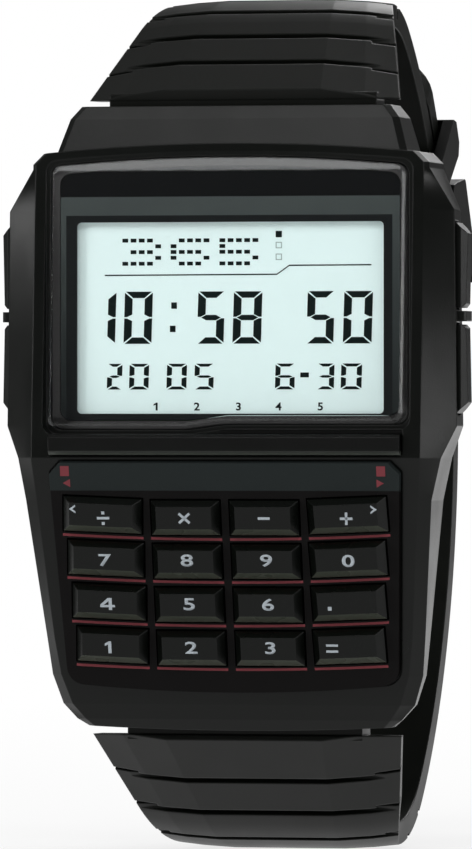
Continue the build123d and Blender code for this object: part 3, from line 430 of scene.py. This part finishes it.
marks = bmesh.new()
time_sizes = {"low": 6.07, "high": 10.17, "wide": 0.63, "deep": 0.5}
time_digits = [
    ("1", -11.5, -9.31), ("0", -8.61, -6.36), ("5", -2.68, -0.54),
    ("8", 0.185, 2.47), ("5", 6.12, 8.28), ("0", 9.05, 11.34),
]
for text, left, right in time_digits:
    segment_digit(marks, text, left, right, **time_sizes)
colon_wide, colon_high = 0.45, 0.5
for left, low in ((-4.81, 8.82), (-4.92, 6.99)):
    plate(marks, bar(left, left + colon_wide, low, low + colon_high))
date_sizes = {"low": 2.48, "high": 4.5, "wide": 0.4, "deep": 0.23}
date_digits = [
    ("2", -10.0, -8.79), ("0", -8.2, -6.63), ("0", -5.17, -3.57), ("5", -2.93, -1.39),
    ("6", 3.57, 5.13), ("3", 6.92, 8.29), ("0", 8.84, 10.5),
]
for text, left, right in date_digits:
    segment_digit(marks, text, left, right, **date_sizes)
date_dash = bar(5.58, 6.26, 3.42, 3.8)
plate(marks, date_dash)

dot_patterns = {
    "3": ["11110", "00001", "01110", "00001", "11110"],
    "6": ["01111", "10000", "11110", "10001", "01110"],
    "5": ["11111", "10000", "11110", "00001", "11110"],
}
dot_pitch, dot_row_pitch, dot_wide, dot_high = 0.665, 0.455, 0.46, 0.3
top_row = 14.19
for text, left in (("3", -8.76), ("6", -4.86), ("5", -0.92)):
    for row, line in enumerate(dot_patterns[text]):
        for column, lit in enumerate(line):
            if lit == "1":
                x = left + column * dot_pitch
                z = top_row - row * dot_row_pitch
                plate(marks, bar(x, x + dot_wide, z - dot_high / 2, z + dot_high / 2))

rule_half = 0.05
rule_points = [(-10.18, 11.46), (3.7, 11.5), (4.7, 12.2), (11.27, 12.22)]
for (x0, z0), (x1, z1) in zip(rule_points, rule_points[1:]):
    low_side = [(x0, z0 - rule_half), (x1, z1 - rule_half)]
    plate(marks, low_side + [(x1, z1 + rule_half), (x0, z0 + rule_half)])
square_wide = 0.5
square_left, square_right = 3.6, 3.6 + square_wide
lit_square_low, faint_square_lows = 14.4, (13.54, 12.62)
plate(marks, bar(square_left, square_right, lit_square_low, lit_square_low + square_wide))


def font_sign(text, wide_share):
    """Outline mesh of one numeral, one unit high, about its own middle."""
    heavier = 0.018
    curve = bpy.data.curves.new("sign", "FONT")
    curve.body = text
    curve.offset = heavier
    holder = bpy.data.objects.new("sign", curve)
    bpy.context.scene.collection.objects.link(holder)
    bpy.context.view_layer.update()
    evaluated = holder.evaluated_get(bpy.context.evaluated_depsgraph_get())
    data = bpy.data.meshes.new_from_object(evaluated)
    xs = [vertex.co.x for vertex in data.vertices]
    ys = [vertex.co.y for vertex in data.vertices]
    scale = 1 / (max(ys) - min(ys))
    middle = Vector(((max(xs) + min(xs)) / 2, (max(ys) + min(ys)) / 2, 0))
    for vertex in data.vertices:
        vertex.co = (vertex.co - middle) * scale
        vertex.co.x *= wide_share
    bpy.data.objects.remove(holder)
    return data


def raised_glyph(shape, text, wide_share, set_on):
    """Adds a numeral with a small thickness. set_on gives the place of a point at a height."""
    weld = 0.001
    glyph = bmesh.new()
    glyph.from_mesh(font_sign(text, wide_share))
    bmesh.ops.remove_doubles(glyph, verts=glyph.verts, dist=weld)
    grown = bmesh.ops.extrude_face_region(glyph, geom=glyph.faces[:])
    raised = {element for element in grown["geom"] if isinstance(element, bmesh.types.BMVert)}
    for vertex in glyph.verts:
        vertex.co = set_on(vertex.co.x, vertex.co.y, vertex in raised)
    temporary = bpy.data.meshes.new("glyph")
    glyph.to_mesh(temporary)
    glyph.free()
    shape.from_mesh(temporary)


flagged_one = [
    (0.14, -0.5), (0.14, 0.5), (-0.04, 0.5), (-0.4, 0.3), (-0.4, 0.1), (-0.12, 0.24), (-0.12, -0.5),
]
small_high, small_z, small_wide_share = 0.62, 1.14, 1.15
small_one_x, small_one_wide = -6.0, 0.6
small_one = [(small_one_x + x * small_one_wide, small_z + z * small_high) for x, z in flagged_one]
plate(marks, small_one)


def small_numeral(shape, text, middle):
    """Adds a small numeral to the display's bottom row."""

    def on_row(x, z, lifted):
        """A point of the numeral, set about its place in the row."""
        lift = mark_thick if lifted else 0
        return on_glass(middle + x * small_high, small_z + z * small_high, lift)

    raised_glyph(shape, text, small_wide_share, on_row)


for text, middle in (("2", -2.75), ("3", 0.6), ("4", 3.82), ("5", 7.18)):
    small_numeral(marks, text, middle)
dark_crystal = ink("dark segments", (14, 26, 25), shine=0.05)
new_piece("display_marks", marks, dark_crystal, "case")

faint_marks = bmesh.new()
frame_line = 0.07
for low in faint_square_lows:
    left, right, high = square_left, square_right, low + square_wide
    plate(faint_marks, bar(left, right, high - frame_line, high))
    plate(faint_marks, bar(left, right, low, low + frame_line))
    plate(faint_marks, bar(left, left + frame_line, low + frame_line, high - frame_line))
    plate(faint_marks, bar(right - frame_line, right, low + frame_line, high - frame_line))
faint_crystal = ink("faint segments", (166, 186, 183), shine=0.05)
new_piece("display_faint_marks", faint_marks, faint_crystal, "case")


# Printed surround: a film behind the crystal, black across the top and slate grey round the
# window.
def surround_print(name):
    """Black above, slate below it, and a darker stepped frame close round the window."""
    black_above, palest_at = 17.62 * mm, 17.6 * mm
    frame_left, frame_right, frame_top = -13.2 * mm, 13.05 * mm, 16.15 * mm
    slate_in_shade, slate_in_light, cloudy_slate = (28, 33, 33), (70, 77, 76), (36, 40, 42)
    frame_black, top_black = (22, 25, 26), (9, 11, 12)
    cloud_cover, shiny, uneven = 0.3, 0.45, 0.1
    finish = Finish(name, colour=(36, 41, 43), rough=0.5, Specular_IOR_Level=0.08)
    height, across = finish.axis("Z"), finish.axis("X")
    inner = (across > frame_left) * (across < frame_right) * (height < frame_top)
    cloud = finish.noise(size=5 * mm)
    # Painted light from above: the slate is coloured paler towards the top.
    slate = finish.blend(finish.rise(height, 0.0, palest_at), slate_in_shade, slate_in_light)
    slate = finish.blend(cloud_cover * cloud, slate, cloudy_slate)
    framed = finish.blend(inner, slate, frame_black)
    finish.set("Base Color", finish.blend(height > black_above, framed, top_black))
    finish.set("Roughness", shiny + uneven * cloud)
    return finish


wear("display_mask", surround_print("surround print"))


# Crystal: clear moulded glass with a polished bevel, pressed onto a black gasket. The back gasket
# and the pushers' seals are of the same rubber.
def clear_glass(name):
    """Clear window glass: seen through, with a mirror-like skin."""
    glass_bend, shiny, smeared = 1.45, 0.02, 0.02
    finish = Finish(name, colour=(250, 252, 252), rough=0.03, Metallic=1.0)
    finish.set("Roughness", shiny + smeared * finish.noise(size=9 * mm))
    rounded = finish.softened(radius=0.3 * mm)
    finish.set("Normal", rounded)
    clear = finish.add("ShaderNodeBsdfTransparent")
    edge = finish.add("ShaderNodeFresnel", None, {"IOR": glass_bend, "Normal": rounded})
    inside = finish.add("ShaderNodeNewGeometry", output="Backfacing")
    inputs = {0: edge * (1 - inside), 1: clear, 2: finish.skin}
    finish.show(finish.add("ShaderNodeMixShader", None, inputs))
    return finish


def soft_rubber(name, colour=(30, 30, 30)):
    """Black rubber, dull and a little dusty."""
    dust_tone = 1.5
    finish = Finish(name, colour, rough=0.7)
    dust = finish.noise(size=0.4 * mm, detail=4.0)
    finish.set("Base Color", finish.blend(dust, colour, toned(colour, dust_tone)))
    finish.set("Normal", finish.relief(dust, depth=0.01 * mm))
    return finish


wear("crystal", clear_glass("clear crystal"))
wear("crystal_gasket", soft_rubber("gasket rubber"))
wear("back_gasket", soft_rubber("back gasket rubber"))
wear("pusher_seals", soft_rubber("seal rubber"))


# Case: one shell of black resin, injection moulded with a fine spark-eroded grain. Everything
# else is fixed to it.
case_look = {
    "rough": 0.3, "grain": 0.1 * mm, "depth": 0.007 * mm, "vary": 0.12, "round_off": 0.14 * mm,
    "shine": 0.2,
}
wear("case", moulded("case resin", (8, 10, 8), **case_look))


# Divider bar: a moulded strip of glossy black plastic, pressed in between crystal and keypad. A
# painted highlight pales it towards its lower lip.
def trim_plastic(name):
    """Glossy black, with a painted highlight in grey along its lower lip."""
    look = {
        "rough": 0.22, "grain": 0.1 * mm, "depth": 0.001 * mm, "vary": 0.1,
        "round_off": 0.08 * mm, "shine": 0.22,
    }
    highlight_up_to, black_from = -2.6 * mm, -2.3 * mm
    finish = moulded(name, (6, 7, 6), **look)
    upper = finish.rise(finish.axis("Z"), highlight_up_to, black_from)
    speck = finish.noise(size=0.1 * mm)
    black = finish.blend(speck, (5, 6, 5), (7, 8, 7))
    # Painted highlight: grey stands in for light caught along the lower lip.
    grey = finish.blend(speck, (66, 70, 65), (72, 76, 71))
    finish.set("Base Color", finish.blend(upper, grey, black))
    return finish


wear("divider_bar", trim_plastic("divider plastic"))


# Keypad panel: a matt cover plate, leaning back, with the keys' windows and printed red marks. Its
# top strip is a shade lighter and bluer than the rest. The marks' sizes are in millimetres.
press_axis = {joint["child"]: Vector(joint["axis"]) for joint in frame["joints"]}
out_of_panel = -press_axis["key_5"]
up_panel = out_of_panel.cross(Vector((1, 0, 0)))


def reach(name, direction):
    """How far a node's furthest point lies along a direction."""
    return max(vertex.co.dot(direction) for vertex in nodes[name].data.vertices)


panel_front = reach("keypad_panel", out_of_panel)
panel_top = reach("keypad_panel", up_panel)
print_thick = 0.02 * mm


def on_panel(x, y, lift):
    """A point over the panel, in metres.

    From millimetres across and up from its top edge, and metres out of its front."""
    level = Vector((x * mm, 0, 0)) + up_panel * (panel_top + y * mm)
    return level + out_of_panel * (panel_front + lift)


def slab(shape, points, lift=0.0):
    """Adds a thin printed mark on the keypad's slope, or on a key that stands out of it."""
    top = [on_panel(x, y, lift + print_thick) for x, y in points]
    layer(shape, top, [on_panel(x, y, lift) for x, y in points])


def panel_print(name):
    """Black matt plastic with a bluish printed strip along its top."""
    look = {
        "rough": 0.5, "grain": 0.08 * mm, "depth": 0.003 * mm, "vary": 0.1,
        "round_off": 0.05 * mm, "shine": 0.08,
    }
    strip_deep = 2.2
    finish = moulded(name, (9, 8, 8), **look)
    strip = finish.axis("Z") > on_panel(0, -strip_deep, 0).z
    speck = finish.noise(size=0.08 * mm)
    black = finish.blend(speck, (8, 7, 7), (12, 10, 10))
    blue = finish.blend(speck, (30, 35, 35), (34, 39, 39))
    finish.set("Base Color", finish.blend(strip, black, blue))
    return finish


wear("keypad_panel", panel_print("panel plastic"))
red = bmesh.new()
line_high, line_steps, line_bow_radius = 0.2, 5, 230
inner_line, outer_line = (0.32, 6.03), (6.65, 13.15)
row_narrowing = 0.2


def line_edge(y, side, near, far, aside):
    """Points of a red line's edge. The lines bow: they stand higher towards the sides."""
    xs = [near + (far - near) * step / line_steps for step in range(line_steps + 1)]
    return [(side * x, y + x * x / (2 * line_bow_radius) + aside) for x in xs]


for row, y in enumerate((-6.1, -9.55, -13.05, -16.55)):
    for side in (-1, 1):
        for near, far in (inner_line, (outer_line[0], outer_line[1] - row_narrowing * row)):
            upper = line_edge(y, side, near, far, line_high / 2)
            lower = line_edge(y, side, near, far, -line_high / 2)
            slab(red, upper + lower[::-1])
red_square = [(-0.35, -0.4), (0.35, -0.4), (0.35, 0.4), (-0.35, 0.4)]
red_arrow = [(0.29, 0), (-0.29, 0.32), (-0.29, -0.32)]
square_y, arrow_y = -0.64, -1.6
for side, square_x, arrow_x in ((-1, -12.78, -12.66), (1, 12.6, 12.52)):
    slab(red, [(square_x + dx, square_y + dy) for dx, dy in red_square])
    slab(red, [(arrow_x + side * dx, arrow_y + dy) for dx, dy in red_arrow])
red_print = ink("red print", (118, 54, 60), shine=0.15)
new_piece("panel_marks", red, red_print, "case")


# Keys: sixteen moulded keys on one rubber sheet, each with its sign printed in pale grey. The
# signs' sizes are in millimetres, on the panel's slope.
def key_resin(name):
    """Black plastic, with a painted highlight in grey on each key's lower bevel."""
    look = {
        "rough": 0.28, "grain": 0.08 * mm, "depth": 0.002 * mm, "vary": 0.08,
        "round_off": 0.1 * mm, "shine": 0.18,
    }
    facing_down = -0.3
    finish = moulded(name, (6, 8, 6), **look)
    inputs = {0: finish.add("ShaderNodeTexCoord", output="Normal"), 1: tuple(up_panel)}
    rising = finish.add("ShaderNodeVectorMath", {"operation": "DOT_PRODUCT"}, inputs, "Value")
    speck = finish.noise(size=0.1 * mm)
    black = finish.blend(speck, (5, 7, 5), (7, 9, 7))
    # Painted highlight: grey on the downward bevels stands in for light they catch.
    bevel_highlight = finish.blend(speck, (63, 67, 59), (67, 71, 63))
    finish.set("Base Color", finish.blend(rising < facing_down, black, bevel_highlight))
    return finish


def level_box(x, y, wide, high):
    """Outline of a level rectangle about a point."""
    return bar(x - wide / 2, x + wide / 2, y - high / 2, y + high / 2)


def turned_bar(long, thick, angle):
    """Outline of a bar turned about its middle."""
    c, s = math.cos(math.radians(angle)), math.sin(math.radians(angle))
    return [(dx * c - dy * s, dx * s + dy * c) for dx, dy in level_box(0, 0, long, thick)]


sign_high, numeral_wide_share = 0.97, 1.6
stroke = 0.2
long_bar, short_bar, cross_bar, cross_angle = 1.0, 0.95, 1.15, 42
divide_dot, divide_dot_y = stroke * 1.2, 0.42
equals_stroke, equals_y = stroke * 0.9, 0.24
point_wide, point_y = 0.3, -0.3
sign_outlines = {
    "1": [[(dx * sign_high, dy * sign_high) for dx, dy in flagged_one]],
    "4": [
        [(-0.6, -0.26), (0.08, -0.26), (0.08, -0.08), (-0.33, -0.08), (0.08, 0.24), (0.08, 0.48),
         (0.02, 0.48), (-0.6, -0.04)],
        [(0.08, -0.48), (0.34, -0.48), (0.34, -0.26), (0.58, -0.26), (0.58, -0.08), (0.34, -0.08),
         (0.34, 0.48), (0.08, 0.48)],
    ],
    "divide": [level_box(0, 0, long_bar, stroke)]
    + [level_box(0, side * divide_dot_y, divide_dot, divide_dot) for side in (1, -1)],
    "times": [turned_bar(cross_bar, stroke, side * cross_angle) for side in (1, -1)],
    "minus": [level_box(0, 0, short_bar, stroke)],
    "plus": [level_box(0, 0, long_bar, stroke), level_box(0, 0, stroke, long_bar)],
    "point": [level_box(0, point_y, point_wide, point_wide)],
    "equals": [level_box(0, side * equals_y, short_bar, equals_stroke) for side in (1, -1)],
}
chevron = [
    (11.84, -3.16), (12.35, -3.5), (11.84, -3.84), (11.84, -3.69), (12.09, -3.5), (11.84, -3.31),
]
chevrons = {"plus": chevron, "divide": [(-x, y) for x, y in chevron]}
key_rows = [
    (["divide", "times", "minus", "plus"], -4.23, (-9.63, -3.1, 3.29, 9.88)),
    (["7", "8", "9", "0"], -7.6, (-9.64, -3.04, 3.33, 9.89)),
    (["4", "5", "6", "point"], -11.12, (-9.59, -3.02, 3.32, 8.25)),
    (["1", "2", "3", "equals"], -14.61, (-9.6, -3.02, 3.34, 8.3)),
]


def key_numeral(shape, text, x, y, key_lift):
    """Adds a numeral to a key's top."""

    def on_key(across, up, lifted):
        """A point of the numeral, set about the sign's place."""
        lift = key_lift + (print_thick if lifted else 0)
        return on_panel(x + across * sign_high, y + up * sign_high, lift)

    raised_glyph(shape, text, numeral_wide_share, on_key)


key_plastic = key_resin("key plastic")
pale_print = ink("pale print", (172, 180, 186), shine=0.15)
for texts, y, places in key_rows:
    for text, x in zip(texts, places):
        name = "key_" + text
        wear(name, key_plastic)
        key_lift = reach(name, out_of_panel) - panel_front
        sign = bmesh.new()
        if text in sign_outlines:
            for outline in sign_outlines[text]:
                slab(sign, [(x + dx, y + dy) for dx, dy in outline], key_lift)
        else:
            key_numeral(sign, text, x, y, key_lift)
        if text in chevrons:
            slab(sign, chevrons[text], key_lift)
        new_piece(name + "_sign", sign, pale_print, name)


# Rubber sheet and contact sheet: the sheet springs the keys back and presses carbon pads on the
# printed contacts below it.
def printed_contacts(name):
    """Amber film with printed carbon pads."""
    amber, carbon, pad_pitch, pad_share = (150, 104, 44), (34, 34, 36), 3.4 * mm, 0.3
    finish = Finish(name, amber, rough=0.4)
    inputs = {"Vector": finish.place(), "Scale": 1 / pad_pitch}
    pads = finish.add("ShaderNodeTexVoronoi", None, inputs) < pad_share
    finish.set("Base Color", finish.blend(pads, amber, carbon))
    finish.set("Normal", finish.relief(pads, depth=0.01 * mm))
    return finish


wear("key_membrane", soft_rubber("membrane rubber", (70, 70, 72)))
wear("key_contacts", printed_contacts("contact film"))


# Side pushers: moulded resin bars on steel stems, held by small clips behind the case's wall.
# Each stem pushes a springy contact leaf beside the board.
pusher_look = {
    "rough": 0.32, "grain": 0.1 * mm, "depth": 0.004 * mm, "vary": 0.12, "round_off": 0.12 * mm,
    "shine": 0.2,
}
pusher_resin = moulded("pusher resin", (8, 10, 8), **pusher_look)
for name in ("pusher_left_upper", "pusher_left_lower", "pusher_right_upper", "pusher_right_lower"):
    wear(name, pusher_resin)
wear("pusher_contacts", brushed("contact leaves", (196, 186, 150), rough=0.3))


# Battery and sounder: a drawn steel coin cell under a stamped clip, and a thin brass sounder
# disc behind it.
wear("battery", brushed("cell steel", (196, 196, 192), rough=0.3))
wear("battery_clip", brushed("clip steel", (176, 176, 172), rough=0.35, along=(0.1, 1, 1)))
wear("piezo_buzzer", brushed("sounder brass", (208, 172, 98), rough=0.3))
wear("buzzer_contact", brushed("leaf steel", (186, 184, 176), rough=0.3))


# Back plate: satin stainless sheet, stamped and brushed across. It presses the back gasket into
# its groove in the case.
plate_lines = {"along": (0.02, 1, 1), "fine": 0.14 * mm}
wear("case_back", brushed("plate steel", (150, 150, 148), rough=0.34, **plate_lines))


# Back screws: four turned stainless screws, heads set flush in the plate, each with a pressed
# cross recess.
screw_low, screw_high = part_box("case_back_screws")
head_radius, head_high, head_bevel, shank_radius = 0.85 * mm, 0.35 * mm, 0.1 * mm, 0.45 * mm
recess_long, recess_wide, recess_deep = 0.5 * mm, 0.13 * mm, 0.25 * mm
round_steps = 24


def ring(shape, x, z, radius, y):
    """Corners of a level circle of the screw."""
    turns = [2 * math.pi * step / round_steps for step in range(round_steps)]
    return [
        shape.verts.new((x + radius * math.cos(t), y, z + radius * math.sin(t))) for t in turns
    ]


def cross(shape, x, z, y):
    """Corners of the recess at a depth."""
    arm = [(recess_long, -recess_wide), (recess_long, recess_wide), (recess_wide, recess_wide)]
    corners = []
    for c, s in ((1, 0), (0, 1), (-1, 0), (0, -1)):
        corners += [shape.verts.new((x + u * c - w * s, y, z + u * s + w * c)) for u, w in arm]
    return corners


screws = bmesh.new()
back_y = screw_high.y
under_y = back_y - head_high
for x in (screw_low.x + head_radius, screw_high.x - head_radius):
    for z in (screw_low.z + head_radius, screw_high.z - head_radius):
        rim = ring(screws, x, z, head_radius - head_bevel, back_y)
        mouth = cross(screws, x, z, back_y)
        pit = cross(screws, x, z, back_y - recess_deep)
        edges = []
        for loop in (rim, mouth):
            edges += [screws.edges.new((loop[i - 1], loop[i])) for i in range(len(loop))]
        bmesh.ops.triangle_fill(screws, use_beauty=True, edges=edges)
        wall(screws, mouth, pit)
        screws.faces.new(pit)
        outer = rim
        for radius, y in (
            (head_radius, back_y - head_bevel),
            (head_radius, under_y),
            (shank_radius, under_y),
            (shank_radius, screw_low.y),
        ):
            inner = ring(screws, x, z, radius, y)
            wall(screws, outer, inner)
            outer = inner
        screws.faces.new(outer)
bmesh.ops.recalc_face_normals(screws, faces=screws.faces)
screw_steel = brushed("screw steel", (196, 196, 194), rough=0.26)
screw_piece = new_piece("case_back_screws_cut", screws, screw_steel, "case")
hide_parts("case_back_screws")


# Spring bars: turned stainless rods. Two hinge the strap on the case, and one hinges the buckle on
# the strap.
for name in ("spring_bar_12", "spring_bar_6", "buckle_spring_bar"):
    wear(name, brushed(name + " steel", (170, 170, 168), rough=0.3, along=(0.05, 1, 1)))


# Strap: two halves of flexible black resin, ridged across near the case, the long one with
# adjusting holes.
strap_look = {
    "rough": 0.36, "grain": 0.1 * mm, "depth": 0.005 * mm, "vary": 0.12, "round_off": 0.18 * mm,
    "shine": 0.17,
}
strap_resin = moulded("strap resin", (9, 11, 8), **strap_look)
wear("strap_12", strap_resin)
wear("strap_6", strap_resin)


# Keeper and buckle: a resin loop that holds the strap's tail, a resin-covered frame, and a steel
# prong.
clasp_look = {"colour": (8, 9, 8), "grain": 0.1 * mm, "round_off": 0.12 * mm, "shine": 0.15}
keeper_grain = {"rough": 0.4, "depth": 0.005 * mm, "vary": 0.12}
buckle_grain = {"rough": 0.36, "depth": 0.003 * mm, "vary": 0.1}
wear("keeper", moulded("keeper resin", **clasp_look, **keeper_grain))
wear("buckle_frame", moulded("buckle resin", **clasp_look, **buckle_grain))
wear("buckle_prong", brushed("prong steel", (150, 150, 148), rough=0.32, along=(1, 1, 0.05)))


# Stage: a plain pale floor and backdrop, soft lamps, and a camera as far off as a product
# photographer's.
white = (1, 1, 1, 1)


def plain_white(name):
    """Pale ground that looks white to the camera and keeps the object's shadow."""
    near, far, near_white_share = 0.05, 0.4, 0.78
    finish = Finish(name, colour=(236, 236, 236), rough=0.9, Specular_IOR_Level=0.0)
    darker, lighter = (238, 238, 238), (242, 242, 242)
    finish.set("Base Color", finish.blend(finish.noise(size=80 * mm), darker, lighter))
    glow = finish.add("ShaderNodeEmission", None, {"Color": white, "Strength": 1.0})
    seen = finish.add("ShaderNodeLightPath", output="Is Camera Ray")
    mirrored = finish.add("ShaderNodeLightPath", output="Is Glossy Ray")
    length = {"operation": "LENGTH"}
    away = finish.add("ShaderNodeVectorMath", length, {0: finish.place()}, "Value")
    share = (seen + mirrored) * finish.rise(away, near, far, near_white_share)
    finish.show(finish.add("ShaderNodeMixShader", None, {0: share, 1: finish.skin, 2: glow}))
    return finish


floor_half = 1.5
floor_z = cad_box[0][2] - 0.05 * mm
floor_shape = bmesh.new()
floor_corners = bar(-floor_half, floor_half, -floor_half, floor_half)
floor_shape.faces.new([floor_shape.verts.new((x, y, floor_z)) for x, y in floor_corners])
floor_data = bpy.data.meshes.new("floor")
floor_shape.to_mesh(floor_data)
floor_shape.free()
floor = bpy.data.objects.new("floor", floor_data)
bpy.context.scene.collection.objects.link(floor)
floor_data.materials.append(plain_white("pale ground").material)

world = bpy.data.worlds.new("studio")
bpy.context.scene.world = world
world.use_nodes = True
sky = Bench(world.node_tree, "ShaderNodeOutputWorld")
lit_above, straight_up, side_light, top_light = 0.15, 1.0, 0.05, 0.35
way = sky.add("ShaderNodeTexCoord", output="Generated")
height = sky.add("ShaderNodeSeparateXYZ", None, {0: way}, "Z")
glow = sky.rise(height, lit_above, straight_up, side_light, top_light)
lit = sky.add("ShaderNodeBackground", None, {"Color": white, "Strength": glow})
seen = sky.add("ShaderNodeBackground", None, {"Color": white, "Strength": 1.0})
camera_ray = sky.add("ShaderNodeLightPath", output="Is Camera Ray")
sky.show(sky.add("ShaderNodeMixShader", None, {0: camera_ray, 1: lit, 2: seen}))

dial_middle = Vector((0, cad_box[0][1], 0))


def soft_lamp(name, place, wide, high, power):
    """A large lamp aimed at the dial's middle."""
    data = bpy.data.lights.new(name, "AREA")
    data.shape = "RECTANGLE"
    data.size = wide
    data.size_y = high
    data.energy = power
    lamp = bpy.data.objects.new(name, data)
    lamp.location = place
    lamp.rotation_euler = (dial_middle - Vector(place)).to_track_quat("-Z", "Y").to_euler()
    bpy.context.scene.collection.objects.link(lamp)


soft_lamp("top", place=(0, -0.46, 0.52), wide=0.4, high=0.3, power=1.7)
soft_lamp("left", place=(-0.55, -0.34, 0.12), wide=0.2, high=0.5, power=2.6)
soft_lamp("right", place=(0.6, -0.2, 0.08), wide=0.24, high=0.45, power=1.6)
soft_lamp("back", place=(0.1, 0.5, 0.34), wide=0.4, high=0.3, power=2.0)

camera_turn = math.radians(13.0)
camera_away = 0.7
sensor_wide = 36
pixels_per_mm = 12.8
image_wide, image_high = 472, 849
face_pixel = (222, 421)
look = Vector((-math.sin(camera_turn), math.cos(camera_turn), 0))
rightward = Vector((math.cos(camera_turn), math.sin(camera_turn), 0))
aside = (image_wide / 2 - face_pixel[0]) / pixels_per_mm * mm
lower = (image_high / 2 - face_pixel[1]) / pixels_per_mm * mm
camera_data = bpy.data.cameras.new("camera")
camera_data.sensor_width = sensor_wide
camera_data.lens = sensor_wide * camera_away / (image_high / pixels_per_mm * mm)
camera = bpy.data.objects.new("camera", camera_data)
from_dial = rightward * aside - look * camera_away - Vector((0, 0, lower))
camera.location = dial_middle + from_dial
camera.rotation_euler = look.to_track_quat("-Z", "Y").to_euler()
bpy.context.scene.collection.objects.link(camera)
bpy.context.scene.camera = camera

bpy.context.scene.view_settings.view_transform = "Standard"
